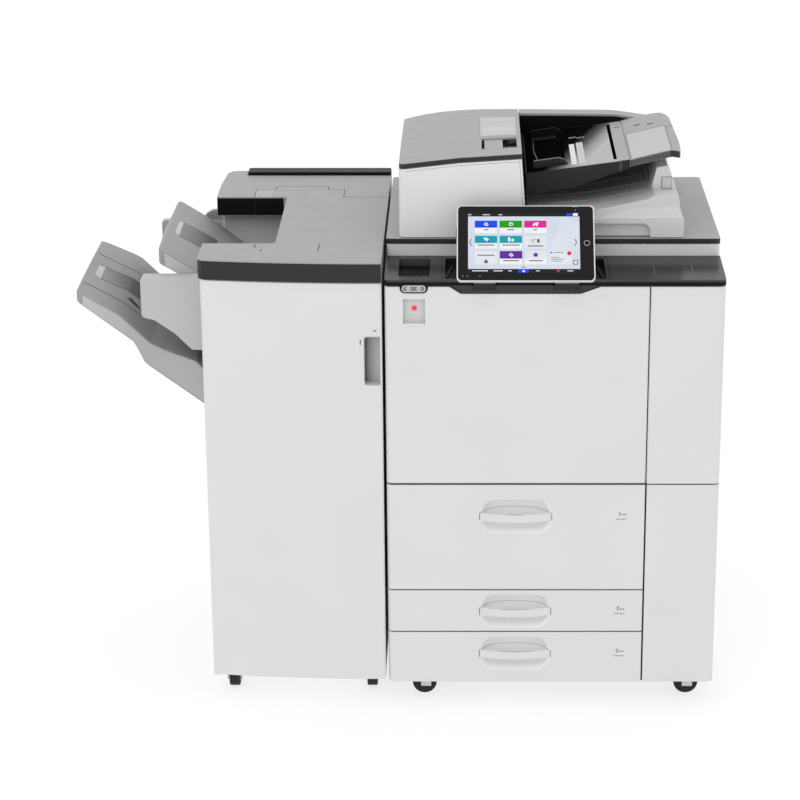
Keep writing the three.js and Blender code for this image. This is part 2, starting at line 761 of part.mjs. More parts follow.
function feederRearCover() {
  const face = outline([
    [FEEDER_LEFT, FEEDER_FLOOR_Z],
    [FEEDER_LEFT, 1126, 4],
    [150, 1143],
    [281, 1150],
    [281.5, ARCH_Z],
    [490, 1156.3, 300],
    [588, 1141.2, 14],
    [600, 1118, 12],
    [609, 1071],
    [609, FEEDER_FLOOR_Z],
  ]);
  const inside = box(FEEDER_LEFT + 4, 605, 561, FEEDER_BACK - 4, 990, 1040);
  const bearings = [
    rod("y", TRAY_PIN.radius + SHAFT_PLAY, 550, 562, TRAY_PIN.x, TRAY_PIN.z, 16),
    rod("y", PICKUP.shaft + SHAFT_PLAY, 550, 562, PICKUP.x, PICKUP.z, 16),
  ];
  return cut(prismY(face, 557, FEEDER_BACK), inside, ...bearings);
}

const LATCH = { x0: 197, x1: 270, y0: 211, y1: 298 };

function feederTopCover() {
  const xs = spread(FEEDER_LEFT - 1, FEEDER_BLOCK_RIGHT + 1, 10);
  const ys = spread(FEEDER_FRONT - 1, FEEDER_BACK + 1, 10);
  const innerXs = spread(FEEDER_LEFT + 5, FEEDER_BLOCK_RIGHT - 4, 10);
  const innerYs = spread(FEEDER_FRONT + 6, FEEDER_BACK - 4, 10);
  const floor = (x) => along(WHITE_TOP, x) + 1.6;
  const plan = outline([
    [FEEDER_LEFT + 0.5, FEEDER_BACK],
    [FEEDER_LEFT + 0.5, FEEDER_FRONT + 1, 12],
    [FEEDER_BLOCK_RIGHT, FEEDER_FRONT + 1, 2],
    [FEEDER_BLOCK_RIGHT, FEEDER_BACK],
  ]);
  const shell = cut(
    heightSlab(xs, ys, crown, floor),
    heightSlab(innerXs, innerYs, (x, y) => crown(x, y) - 4, (x) => floor(x) - 5),
  );
  const window = box(LATCH.x0, LATCH.x1, LATCH.y0, LATCH.y1, 1130, 1180);
  return cut(shell.intersect(prismZ(plan, 1100, 1200)), window);
}

// Release lever that shows in the window of the top cover.
function feederLatch() {
  const top = (x, y) => crown(x, y) - 2.5;
  const xs = [LATCH.x0 + 6, LATCH.x0 + 44];
  const ys = [LATCH.y0 + 2, LATCH.y1 - 2];
  return heightSlab(xs, ys, top, (x, y) => top(x, y) - 7);
}

const TRAY = { left: 288, right: 503, front: 200, back: 552 };
const TRAY_TOP = [
  [285, 1112.5],
  [503, 1142],
];
const trayTop = (x) => along(TRAY_TOP, x);

function originalTray() {
  const face = outline([
    [TRAY.left, 1066],
    [TRAY.left, trayTop(TRAY.left)],
    [TRAY.right, trayTop(TRAY.right)],
    [TRAY.right, 1124],
    [380, 1081, 120],
  ]);
  const inside = outline([
    [TRAY.left + 10, 1060],
    [TRAY.left + 10, trayTop(TRAY.left + 10) - 8],
    [TRAY.right - 4, trayTop(TRAY.right - 4) - 8],
    [TRAY.right - 4, 1100],
  ]);
  const tray = cut(prismY(face, TRAY.front, TRAY.back), prismY(inside, TRAY.front + 5, TRAY.back - 5));
  const guideSlot = (y0, y1) => box(330, 336, y0, y1, 1090, 1160);
  const trunnion = rod("y", TRAY_PIN.radius, TRAY.back - 4, 560, TRAY_PIN.x, TRAY_PIN.z, 16);
  return join(cut(tray, guideSlot(228, 330), guideSlot(400, 520)), trunnion);
}

const WING = { left: TRAY.right + 0.5, tip: 611, slope: (1163.5 - 1143) / (588.5 - 505) };
const wingTop = (x) => 1143 + WING.slope * (Math.min(x, 588) - 505) - 0.012 * Math.max(0, x - 588) ** 2;

function trayWing() {
  const xs = spread(WING.left, WING.tip, 10);
  const plan = outline([
    [WING.left, TRAY.front],
    [WING.tip - 4, TRAY.front, 14],
    [WING.tip, 300, 40],
    [WING.tip - 6, TRAY.back, 50],
    [WING.left, TRAY.back],
  ]);
  const slab = heightSlab(xs, [TRAY.front, TRAY.back], wingTop, (x) => wingTop(x) - 15);
  const rest = heightSlab([506, 590], [206, 420], (x) => wingTop(x) + 5, (x) => wingTop(x) - 3.2);
  return cut(slab.intersect(prismZ(plan, 1100, 1200)), rest);
}

function trayExtension() {
  return heightSlab([507, 589], [207, 419], (x) => wingTop(x) - 0.3, (x) => wingTop(x) - 2.8);
}

// Paper side guide: an upright fence with a foot that hooks through the tray's slot.
function sideGuide(y, facing) {
  const low = (x) => trayTop(x) + 0.6;
  const fence = heightSlab([304, 376], [y - 3, y + 3], (x) => trayTop(x) + 20, low);
  const foot = heightSlab([306, 360], facing > 0 ? [y, y + 34] : [y - 34, y], (x) => trayTop(x) + 3, low);
  const hook = box(331, 335, y - 2, y + 2, 1100, 1125);
  return join(fence, foot, hook);
}

function pickupRoller() {
  const { x, z, radius, shaft } = PICKUP;
  return join(rod("y", radius, 330, 420, x, z, 24), rod("y", shaft, FEEDER_FRONT + 12, 560, x, z, 12));
}

// ---- finisher ----

const bow = (x) => (x - BOW_APEX_X) ** 2 / (2 * BOW_RADIUS);

// Plan outline of the finisher: bowed front, rounded front left corner, straight sides.
function finisherPlan(inset, back) {
  const left = FIN_LEFT + inset;
  const right = FIN_RIGHT - inset;
  const bowed = spread(left + 22, right - 3, 10).map((x) => [x, bow(x) + inset]);
  return outline([
    [right, back],
    [right, bow(right) + inset + 3],
    ...bowed.reverse(),
    [left, bow(left) + inset, 18],
    [left, back],
  ]);
}

const CAVITY = { right: -229, front: 142, back: 508, innerBack: 544, floor: 842 };
const NOTCH_PULL = { x0: -42, z0: 720, z1: 823 };
const DOOR_AXIS = { x: FIN_LEFT + 6, y: 40 };
const BAR = { left: -331, front: 703 };

function finisherDoor() {
  const [low, high] = [57, FIN_BAND_Z - 2];
  const blank = prismZ(finisherPlan(0, FIN_DOOR_BACK), low, high);
  const hollow = prismZ(finisherPlan(4, FIN_DOOR_BACK + 10), low + 4, high - 4);
  const { x0, z0, z1 } = NOTCH_PULL;
  const bosses = [
    box(FIN_LEFT + 1, FIN_LEFT + 14, 33, FIN_DOOR_BACK, low, low + 18),
    box(FIN_LEFT + 1, FIN_LEFT + 14, 33, FIN_DOOR_BACK, high - 18, high),
    box(x0 - 4, FIN_RIGHT - 1, 3, 28, z0 - 4, z1 + 4),
  ];
  const pull = box(x0, FIN_RIGHT - 4, -5, 24, z0, z1);
  const holes = [
    rod("z", 3 + SHAFT_PLAY, low - 5, low + 13, DOOR_AXIS.x, DOOR_AXIS.y),
    rod("z", 3 + SHAFT_PLAY, high - 14, high + 5, DOOR_AXIS.x, DOOR_AXIS.y),
  ];
  return cut(join(cut(blank, hollow), ...bosses), pull, ...holes);
}

function finisherCabinet() {
  const wall = 4;
  const shell = cut(
    box(FIN_LEFT, FIN_RIGHT, 48.5, FIN_BACK, 60, FIN_BAND_Z - 0.5),
    box(FIN_LEFT + wall, FIN_RIGHT - wall, 40, FIN_BACK - wall, 68, FIN_BAND_Z - 4),
  );
  const { right: inner, front, innerBack, floor } = CAVITY;
  const innerWall = box(inner, inner + wall, 48.5, FIN_BACK - wall, floor - 30, FIN_BAND_Z);
  const cavityFloor = box(FIN_LEFT, inner + wall, front - 12, innerBack + 12, floor - 4, floor);
  const cavitySides = [
    box(FIN_LEFT, inner + wall, front - 12, front, floor - 4, FIN_BAND_Z - 0.5),
    box(FIN_LEFT, inner + wall, innerBack, innerBack + 12, floor - 4, FIN_BAND_Z - 0.5),
  ];
  const cavity = box(FIN_LEFT - 5, inner, front, innerBack, floor, FIN_BAND_Z + 5);
  const exitSlot = box(inner - 5, inner + 10, 170, 480, 884, 900);
  const entrySlot = box(FIN_RIGHT - 10, FIN_RIGHT + 5, 150, 520, 800, 830);
  const liftSlots = [200, 480].map((y) => box(FIN_LEFT - 5, FIN_LEFT + 10, y, y + 16, 150, 712));
  const stackSlot = box(FIN_LEFT - 5, FIN_LEFT + 10, 140, 550, 730, 756);
  const stapleRod = rod("y", 5, 60, FIN_BACK - 2, -320, 700, 16);
  const rodPlate = box(FIN_LEFT + 2, -300, 60, 64, 680, 740);
  const hinge = join(
    box(DOOR_AXIS.x - 5, DOOR_AXIS.x + 5, DOOR_AXIS.y - 6, 60, 51, 56),
    box(DOOR_AXIS.x - 5, DOOR_AXIS.x + 5, 49, 60, 51, 62),
    rod("z", 3, 55, 69, DOOR_AXIS.x, DOOR_AXIS.y),
  );
  const forks = [-336, -38].map((x) => fixedFork(x, 94, 61));
  const feet = [-336, -38].map((x) => rod("z", 16, 0, 62, x, 690, 24));
  const hull = join(cut(shell, cavity), innerWall, cavityFloor, ...cavitySides, rodPlate, stapleRod);
  const opened = cut(hull, exitSlot, entrySlot, ...liftSlots, stackSlot);
  return join(opened, ...forks, ...feet, hinge);
}

function finisherTopCover() {
  const armLeft = FIN_LEFT - 8;
  const rearArm = outline([
    [-300, CAVITY.back + 2],
    [armLeft, CAVITY.back + 2, 4],
    [armLeft, 620, 100],
    [FIN_LEFT, FIN_BACK + 10, 26],
    [-300, FIN_BACK + 10],
  ]);
  const lid = prismZ(finisherPlan(-3, FIN_BACK + 10), FIN_BAND_Z, FIN_TOP);
  const blank = join(
    lid.intersect(box(-390, FIN_RIGHT, -10, 760, 930, 990)),
    prismZ(rearArm, FIN_BAND_Z, FIN_TOP),
  );
  const corner = cut(box(-390, -340, FIN_BACK - 16, 760, 930, 990), prismZ(rearArm, 900, 1000));
  const barRoom = box(BAR.left - GAP, 10, BAR.front - GAP, FIN_BACK + 15, 900, 1000);
  const cutOut = prismZ(rect(FIN_LEFT - 30, CAVITY.right, CAVITY.front, CAVITY.back + 4, 12), 900, 1000);
  const pockets = [
    box(CAVITY.right + 6, FIN_RIGHT - 6, 40, 696, 930, FIN_TOP - 5),
    box(FIN_LEFT + 6, CAVITY.right - 6, 558, 696, 930, FIN_TOP - 5),
  ];
  const pin = rod("z", 3, 926, FIN_BAND_Z + 1, DOOR_AXIS.x, DOOR_AXIS.y);
  return join(cut(blank, corner, barRoom, cutOut, ...pockets), pin);
}

function finisherRearBar() {
  return prismZ(rect(BAR.left, FIN_RIGHT, BAR.front, FIN_BACK + 10, 6), FIN_BAND_Z, FIN_TOP + 7.5);
}

// Top line of the upper tray, its underside, and the rounded left end that joins them.
const UPPER_TRAY = [
  [-470, 966.5, 5],
  [-395, 919.8, 60],
  [-317, 858, 60],
  [CAVITY.right - 3, 849],
  [CAVITY.right - 3, 844],
  [-330, 846, 60],
  [-420, 906, 60],
  [-478, 939, 6],
  [-483, 948, 6],
];

function upperTray() {
  const plan = outline([
    [CAVITY.right - 3, 149],
    [-471, 149, 10],
    [-481.5, 343, 400],
    [-471, 538, 14],
    [CAVITY.right - 3, 538],
  ]);
  return prismY(outline(UPPER_TRAY), 149, 538).intersect(prismZ(plan, 800, 1000));
}

// Two side panels that flank the upper tray, and the roller housing that joins them under it.
function exitHousing() {
  const panel = (left) =>
    outline([
      [FIN_LEFT - 1, 914],
      [left, 914, 8],
      [left, 830, 10],
      [-480, 823, 10],
      [-439, 794, 30],
      [-405, 759, 8],
      [FIN_LEFT - 1, 758],
    ]);
  const rollers = outline([
    [FIN_LEFT - 1, 850],
    [-436, 850, 12],
    [-436, 796, 4],
    [-405, 765],
    [FIN_LEFT - 1, 764],
  ]);
  return join(prismY(panel(-507), 110, 147.5), prismY(panel(-514), 562, 580), prismY(rollers, 146, 564));
}

const SHIFT_TOP = [
  [-641, 881],
  [-558, 831],
  [-494, 768, 30],
  [-462, 752, 20],
  [-400, 728],
  [FIN_LEFT - 3, 706],
];
const SHIFT_UNDER = [
  [FIN_LEFT - 3, 629],
  [-497, 717, 8],
  [-507, 726],
  [-524, 763],
  [-530, 772, 8],
  [-646, 861],
  [-650, 868],
];

function shiftTray() {
  const body = prismY(outline([...SHIFT_TOP, ...SHIFT_UNDER]), 130, 545);
  const plan = outline([
    [FIN_LEFT - 3, 130],
    [-643, 130, 12],
    [-653.5, 325, 400],
    [-643, 512, 30],
    [-572, 545, 60],
    [FIN_LEFT - 3, 545],
  ]);
  const under = outline([
    [FIN_LEFT + 5, 643],
    [-487, 728],
    [-498, 748],
    [-489, 755],
    [-460, 742],
    [-398, 718],
    [FIN_LEFT + 5, 696],
  ]);
  const tabs = [200, 480].map((y) => box(FIN_LEFT - 6, FIN_LEFT + 12, y + 2, y + 14, 650, 700));
  return join(cut(body.intersect(prismZ(plan, 600, 900)), prismY(under, 136, 539)), ...tabs);
}

function staplerUnit() {
  const body = join(box(-345, -290, 120, 165, 672, 728), box(-365, -330, 126, 159, 700, 722));
  return cut(body, rod("y", 5 + SHAFT_PLAY, 100, 180, -320, 700, 16));
}

// ---- casters ----

function wheel(x, y, axis) {
  const half = WHEEL_WIDTH / 2;
  const [at, other] = axis === "x" ? [x, y] : [y, x];
  return cut(
    rod(axis, WHEEL_R, at - half, at + half, other, WHEEL_R, 32),
    rod(axis, 4 + SHAFT_PLAY, at - 20, at + 20, other, WHEEL_R, 16),
  );
}

// Swivel yoke: stem beside the wheel, two cheeks and the wheel's axle.
function swivelYoke(x, y) {
  const inner = WHEEL_WIDTH / 2 + 1;
  const cheek = 3;
  const side = (from) => box(x - 8, x + 14, from, from + cheek, WHEEL_R - 8, 56);
  return join(
    side(y - inner - cheek),
    side(y + inner),
    box(x - 8, x + TRAIL + 11, y - inner - cheek, y + inner + cheek, 52.6, 56.5),
    rod("z", 6, 56, 66, x + TRAIL, y, 20),
    rod("y", 4, y - inner - cheek, y + inner + cheek, x, WHEEL_R, 16),
  );
}

function casters() {
  const { leftX, rightX, frontY, backY } = CASTERS;
  return [
    mesh("front_caster_yoke_left", swivelYoke(leftX, frontY), "steel"),
    mesh("front_caster_yoke_right", swivelYoke(rightX, frontY), "steel"),
    mesh("front_wheel_left", wheel(leftX, frontY, "y"), "rubber"),
    mesh("front_wheel_right", wheel(rightX, frontY, "y"), "rubber"),
    mesh("rear_wheel_left", wheel(leftX, backY, "x"), "rubber"),
    mesh("rear_wheel_right", wheel(rightX, backY, "x"), "rubber"),
    mesh("finisher_wheel_left", wheel(-336, 94, "x"), "rubber"),
    mesh("finisher_wheel_right", wheel(-38, 94, "x"), "rubber"),
  ];
}

// ---- assembly ----

const mainUnit = group(
  mesh("main_frame", mainFrame(), "steel"),
  mesh("rear_cover", rearCover(), "warmWhite"),
  mesh("left_cover", leftCover(), "white"),
  mesh("right_cover", rightCover(), "white"),
  mesh("pillar_upper_cover", pillarCover(DECK_Z + SEAM, 929.5), "white"),
  mesh("pillar_lower_cover", pillarCover(SKIRT_Z, DECK_Z - SEAM), "white"),
  mesh("front_door", frontDoor(), "white"),
  mesh("inner_cover", innerCover(), "dark"),
  mesh("photoconductor_drum", roller(DRUM.radius, DRUM.shaft, DRUM.x, DRUM.z, 40), "drum"),
  mesh("toner_bottle", tonerBottle(), "dark"),
  mesh("fusing_roller", roller(FUSER.radius, FUSER.shaft, FUSER.x, FUSER.z), "drum"),
  mesh("pressure_roller", roller(FUSER.radius, FUSER.shaft, PRESSURE_X, FUSER.z), "rubber"),
  mesh("control_shelf", controlShelf(), "dark"),
  mesh("scanner_housing", scannerHousing(), "white"),
  mesh("scanner_top_frame", scannerTopFrame(), "grey"),
  mesh(
    "exposure_glass",
    box(GLASS.left, GLASS.right, GLASS.front, GLASS.back, PLATEN_Z - 3.7, PLATEN_Z - 0.3),
    "glass",
  ),
  mesh("scan_carriage", scanCarriage(), "dark"),
  mesh("feeder_hinge_left", hingeBracket(HINGE_XS[0]), "dark"),
  mesh("feeder_hinge_right", hingeBracket(HINGE_XS[1]), "dark"),
);

const feeder = group(
  mesh("feeder_base", feederBase(), "dark"),
  mesh("platen_pad", box(60, 520, 190, 510, 989.4, 992.4), "pad"),
  mesh("feeder_left_cover", feederLeftCover(), "white"),
  mesh("feeder_output_tray", feederOutputTray(), "warmWhite"),
  mesh("feeder_rear_cover", feederRearCover(), "grey"),
  mesh("feeder_top_cover", feederTopCover(), "grey"),
  mesh("feeder_latch", feederLatch(), "grey"),
  mesh("original_tray", originalTray(), "dark"),
  mesh("tray_wing", trayWing(), "grey"),
  mesh("tray_extension", trayExtension(), "warmWhite"),
  mesh("front_side_guide", sideGuide(232, 1), "dark"),
  mesh("rear_side_guide", sideGuide(500, -1), "dark"),
  mesh("pickup_roller", pickupRoller(), "rubber"),
);

const finisher = group(
  mesh("finisher_cabinet", finisherCabinet(), "white"),
  mesh("finisher_door", finisherDoor(), "white"),
  mesh("finisher_top_cover", finisherTopCover(), "grey"),
  mesh("finisher_rear_bar", finisherRearBar(), "black"),
  mesh("exit_housing", exitHousing(), "grey"),
  mesh("upper_tray", upperTray(), "midGrey"),
  mesh("shift_tray", shiftTray(), "midGrey"),
  mesh("stapler_unit", staplerUnit(), "dark"),
);

const copier = group(mainUnit, group(drawers()), operationPanel(), feeder, finisher, group(casters()));
const extent = new THREE.Box3().setFromObject(copier, true);
const middle = extent.getCenter(new THREE.Vector3());
copier.position.set(-middle.x, -middle.y, -extent.min.z);
const assembly = group(copier);

export default assembly;
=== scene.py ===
from math import acos, atan2, cos, pi, radians, sin, tan

import bmesh
import bpy
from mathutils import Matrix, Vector


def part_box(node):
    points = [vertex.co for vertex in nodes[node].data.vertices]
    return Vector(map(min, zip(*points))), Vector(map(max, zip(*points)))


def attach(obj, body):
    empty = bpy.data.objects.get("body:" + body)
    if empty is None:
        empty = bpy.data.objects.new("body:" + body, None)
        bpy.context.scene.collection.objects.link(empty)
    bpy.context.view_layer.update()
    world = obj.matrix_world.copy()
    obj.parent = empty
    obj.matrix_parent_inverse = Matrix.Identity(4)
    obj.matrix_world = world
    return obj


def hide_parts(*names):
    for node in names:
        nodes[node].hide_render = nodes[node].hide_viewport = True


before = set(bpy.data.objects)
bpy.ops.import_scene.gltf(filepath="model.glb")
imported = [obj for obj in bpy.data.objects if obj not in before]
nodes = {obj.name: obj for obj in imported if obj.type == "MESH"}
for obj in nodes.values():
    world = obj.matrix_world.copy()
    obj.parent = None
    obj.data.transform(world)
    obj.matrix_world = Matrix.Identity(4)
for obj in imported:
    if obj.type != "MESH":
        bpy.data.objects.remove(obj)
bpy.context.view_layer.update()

# The pieces are laid out in millimetres: X to the right from the main unit's left side,
# Y to the back from its front panels, Z up from the floor.
MM = 0.001
MAIN_WIDTH = 690
MAIN_DEPTH = 850
ORIGIN = Vector((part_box("left_cover")[0].x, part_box("rear_cover")[1].y - MAIN_DEPTH * MM, 0))


# ---- small helpers ----


def mix(a, b, t):
    return a + (b - a) * t


def clamp(t):
    return max(0, min(1, t))


def span(a, b, count):
    return [a + (b - a) * i / (count - 1) for i in range(count)]


def arc(centre_x, centre_y, radius, start, end, count):
    turns = span(start, end, count)
    return [(centre_x + radius * cos(a), centre_y + radius * sin(a)) for a in turns]


def along(stops, x):
    """Value at x of a line through (x, value) stops, level after the last one."""
    for (x0, v0), (x1, v1) in zip(stops, stops[1:]):
        if x <= x1:
            return mix(v0, v1, (x - x0) / (x1 - x0))
    return stops[-1][1]


def inward(x, y, centre, depth):
    """The point (x, y) moved by depth towards a centre."""
    step = Vector((centre[0] - x, centre[1] - y)).normalized() * depth
    return x + step.x, y + step.y


def at(x, y, z):
    return ORIGIN + Vector((x, y, z)) * MM


# ---- materials ----


def srgb(r, g, b):
    """A colour given by its display values, 0 to 255."""
    def linear(c):
        c = c / 255
        return c / 12.92 if c <= 0.04045 else ((c + 0.055) / 1.055) ** 2.4

    return (linear(r), linear(g), linear(b), 1)


def grey(v):
    return srgb(v, v, v + 1)


def shade(color, factor):
    return tuple(min(1, c * factor) for c in color[:3]) + (1,)


class Nodes:
    """A material's node tree, with short ways to add and join nodes."""

    def __init__(self, name):
        self.material = bpy.data.materials.new(name)
        self.material.use_nodes = True
        self.tree = self.material.node_tree
        self.shader = self.tree.nodes["Principled BSDF"]
        self.coords = self.tree.nodes.new("ShaderNodeTexCoord")

    def add(self, kind, **settings):
        node = self.tree.nodes.new(kind)
        for key, value in settings.items():
            setattr(node, key, value)
        return node

    def link(self, source, target):
        self.tree.links.new(source, target)

    def fill(self, values, node=None):
        """Sets unlinked inputs of a node, or of the shader."""
        for name, value in values.items():
            (node or self.shader).inputs[name].default_value = value

    def noise(self, scale, detail=3, stretch=(1, 1, 1)):
        place = self.add("ShaderNodeMapping")
        self.fill({"Scale": stretch}, place)
        texture = self.add("ShaderNodeTexNoise")
        self.fill({"Scale": scale, "Detail": detail}, texture)
        self.link(self.coords.outputs["Object"], place.inputs["Vector"])
        self.link(place.outputs["Vector"], texture.inputs["Vector"])
        return texture.outputs["Fac"]

    def feed(self, name, source):
        """Joins a source to an input of the shader."""
        self.link(source, self.shader.inputs[name])

    def ramp(self, source, stops):
        """A ramp through (position, colour) stops."""
        ramp = self.add("ShaderNodeValToRGB")
        steps = ramp.color_ramp.elements
        while len(steps) < len(stops):
            steps.new(0.5)
        for step, (position, color) in zip(steps, stops):
            step.position = position
            step.color = color
        self.link(source, ramp.inputs["Fac"])
        return ramp.outputs["Color"]

    def mottle(self, source, color, less, more):
        return self.ramp(source, [(0.3, shade(color, less)), (0.7, shade(color, more))])

    def spread(self, source, low, high, start=0.25, end=0.75):
        place = self.add("ShaderNodeMapRange")
        self.fill({"From Min": start, "From Max": end, "To Min": low, "To Max": high}, place)
        self.link(source, place.inputs["Value"])
        return place.outputs["Result"]

    def bump(self, source, strength, distance):
        bump = self.add("ShaderNodeBump")
        self.fill({"Strength": strength, "Distance": distance}, bump)
        self.link(source, bump.inputs["Height"])
        self.feed("Normal", bump.outputs["Normal"])


def moulded(name, color, rough, vary=0.012, grain=900, strength=0.12, specular=0.5, coat=0):
    """Moulded plastic: faint mottling of the colour, uneven gloss, fine spark-eroded grain."""
    m = Nodes(name)
    m.feed("Base Color", m.mottle(m.noise(7, 4), color, 1 - vary, 1 + vary))
    m.feed("Roughness", m.spread(m.noise(34, 3), rough * 0.88, rough * 1.12))
    m.fill({"Specular IOR Level": specular, "Coat Weight": coat, "Coat Roughness": 0.12})
    m.bump(m.noise(grain, 2), strength, 0.0002)
    return m.material


def plain(name, value, rough=0.5, specular=0.5):
    return moulded(name, grey(value), rough, specular=specular)


def faded(name, stops, start, end, specular=0.12):
    """Moulded plastic with painted light and shade: its grey changes along a line of the layout, from
    start to end.
    """
    m = Nodes(name)
    a, b = at(*start), at(*end)
    way = (b - a) / (b - a).length_squared
    dot = m.add("ShaderNodeVectorMath", operation="DOT_PRODUCT")
    dot.inputs[1].default_value = way
    m.link(m.coords.outputs["Object"], dot.inputs[0])
    place = m.spread(dot.outputs["Value"], 0, 1, a.dot(way), a.dot(way) + 1)
    m.feed("Base Color", m.ramp(place, [(t, grey(value)) for t, value in stops]))
    m.feed("Roughness", m.spread(m.noise(34, 3), 0.42, 0.54))
    m.fill({"Specular IOR Level": specular})
    m.bump(m.noise(700, 2), 0.2, 0.0002)
    return m.material


def metal(name, color, rough, stretch=(1, 1, 18)):
    """Plated sheet steel with a faint rolling direction."""
    m = Nodes(name)
    m.fill({"Metallic": 1})
    lines = m.noise(60, 4, stretch)
    m.feed("Base Color", m.mottle(lines, color, 0.9, 1.08))
    m.feed("Roughness", m.spread(lines, rough * 0.8, rough * 1.25))
    m.bump(m.noise(300, 2, stretch), 0.1, 0.0002)
    return m.material


def lit(name, r, g, b, strength=1.0):
    """A lit part of a display or lamp, with a faint unevenness of its backlight."""
    m = Nodes(name)
    m.fill({"Base Color": (0.01, 0.01, 0.01, 1), "Roughness": 0.3})
    m.fill({"Specular IOR Level": 0.05, "Emission Strength": strength})
    m.feed("Emission Color", m.mottle(m.noise(30, 2), srgb(r, g, b), 0.97, 1.03))
    return m.material


def clear_glass(name):
    m = Nodes(name)
    m.fill({"Base Color": (0.9, 0.95, 0.94, 1), "Transmission Weight": 1, "IOR": 1.5})
    m.feed("Roughness", m.spread(m.noise(9, 2), 0.01, 0.04))
    return m.material


WHITE = plain("white_plastic", 214, 0.42)
BRIGHT = plain("white_plastic_bright", 222, 0.42)
WARM = plain("light_plastic", 203, 0.45)
GREY = moulded("grey_plastic", grey(154), 0.5, grain=700, strength=0.2)
TRAY = moulded("tray_plastic", grey(147), 0.45, grain=700, strength=0.2)
HOUSING = plain("housing_plastic", 184, 0.48)
SILVER = plain("silver_plastic", 205, 0.35)
DARK = moulded("dark_plastic", grey(40), 0.45, vary=0.08, grain=700, strength=0.2, specular=0.25)
BLACK = moulded("black_plastic", grey(12), 0.4, vary=0.1, specular=0.12)
# Slots are flat strips painted near black and without reflection, as the shade inside them.
SLOT_SHADE = moulded("slot_painted_shade", grey(6), 0.9, vary=0, specular=0)
GLOSS = moulded("gloss_black_plastic", grey(26), 0.2, vary=0.06, strength=0.03, specular=0.4)
SHELF = moulded("shelf_plastic", grey(28), 0.24, vary=0.06, strength=0.05, specular=0.5)
SCREEN_GLASS = moulded("display_cover", grey(14), 0.15, vary=0.05, strength=0.02, specular=0.15)
STEEL = metal("zinc_steel", (0.55, 0.56, 0.58, 1), 0.35)
RUBBER = moulded("tread_rubber", grey(26), 0.8, vary=0.15, grain=500, strength=0.4)
DRUM = moulded("drum_coating", srgb(38, 98, 82), 0.15, strength=0.02, coat=0.6)
LEVER = moulded("service_lever", srgb(52, 128, 104), 0.45)
FOAM = moulded("pad_foam", grey(238), 0.85, grain=600, strength=0.4)
GLASS = clear_glass("float_glass")
FAINT = plain("seam_shadow", 128, 0.6)
PLATE = plain("blank_plate", 180)
PLATE_PALE = plain("blank_plate_pale", 190)
STRIPE = plain("pale_stripe", 214)
STRIPE_SOFT = plain("pale_stripe_soft", 190)
# Painted highlight along the ridge of the front paper guide.
GUIDE_RIDGE_HIGHLIGHT = plain("guide_ridge_painted_highlight", 120)
CHARCOAL = moulded("guide_plastic", grey(34), 0.5, vary=0.08, specular=0.25)
UMBER = plain("wing_edge", 80, specular=0.3)
RECESS = plain("recess_plastic", 64, specular=0.3)
SHELF_LINE = plain("shelf_outline", 92, specular=0.3)
SENSOR_WINDOW = plain("sensor_window", 120, 0.25)
SEAM_GREY = plain("seam_grey", 70, 0.6)
SEAM_DARK = plain("seam_dark", 48, 0.6, specular=0.2)
GREY_PALE = plain("grey_plastic_pale", 164)
SEAM_LIGHT = plain("seam_light", 150, 0.6)
# The drawers' bowl linings are painted brighter than the white fronts, to make up for the shade in the
# bowls.
BOWL = plain("drawer_bowl", 235)
# Painted shade for creases, rims and gaps: a soft grey and a deep grey.
SOFT_SHADE = plain("painted_shade_soft", 170)
DEEP_SHADE = plain("painted_shade_deep", 110)
PRINT = plain("printed_numeral", 70, 0.6)
PRINT_PALE = plain("printed_marks", 122, 0.6)
TRAY_LINE = plain("tray_groove", 78, 0.6)
STACK_RIB = plain("stack_rib", 168)
# Painted highlight on the bevels at the left ends of the output trays' recesses.
BEVEL_HIGHLIGHT = plain("tray_bevel_painted_highlight", 196)
# The upper tray's front face, painted lighter than its top as a lit face.
UPPER_SIDE_LIT = plain("tray_side_painted_light", 184)

# Painted reflection and shade on the black original tray: black at the back-left, in the feeder's
# shade, and light grey towards the front-right.
TRAY_REFLECTION_SHADE = faded(
    "original_tray_painted_reflection_and_shade", [(0, 8), (0.42, 12), (0.62, 84), (0.8, 150), (1, 178)],
    (310, 330, 1120), (434, 287, 1120), 0)
# Painted light: the stack tray is lightest at its left end, which lies deepest in the shade of the
# original tray above it.
STACK_PAINTED_LIGHT = faded(
    "stack_tray_painted_light", [(0, 205), (0.45, 176), (0.8, 164), (1, 182)],
    (292, 300, 1040), (552, 300, 1040))
# Painted shade in the recesses of the upper and the shift tray, darker towards their right ends.
UPPER_RECESS_SHADE = faded("upper_tray_recess_painted_shade", [(0, 138), (1, 92)], (-446, 350, 930), (-380, 350, 930))
SHIFT_RECESS_SHADE = faded(
    "shift_tray_recess_painted_shade", [(0, 150), (0.5, 116), (1, 84)],
    (-613, 320, 850), (-528, 340, 850))
# The shift tray's front face, painted lighter than its top as a lit face.
SHIFT_SIDE_LIT = faded(
    "shift_tray_flank_painted_light", [(0, 186), (0.5, 168), (1, 178)],
    (-640, 130, 800), (-380, 130, 800))
# Painted shade in the finisher door's pull, darkest at its left end.
PULL_SHADE = faded(
    "door_pull_painted_shade", [(0, 92), (0.25, 150), (1, 206)],
    (-42, 20, 770), (-8, 20, 770))
# Painted shade on the back wall of the cavity over the upper tray, darker towards the top under the
# cover.
CAVITY_SHADE = faded("cavity_wall_painted_shade", [(0, 214), (1, 160)], (-300, 544, 850), (-300, 544, 936))

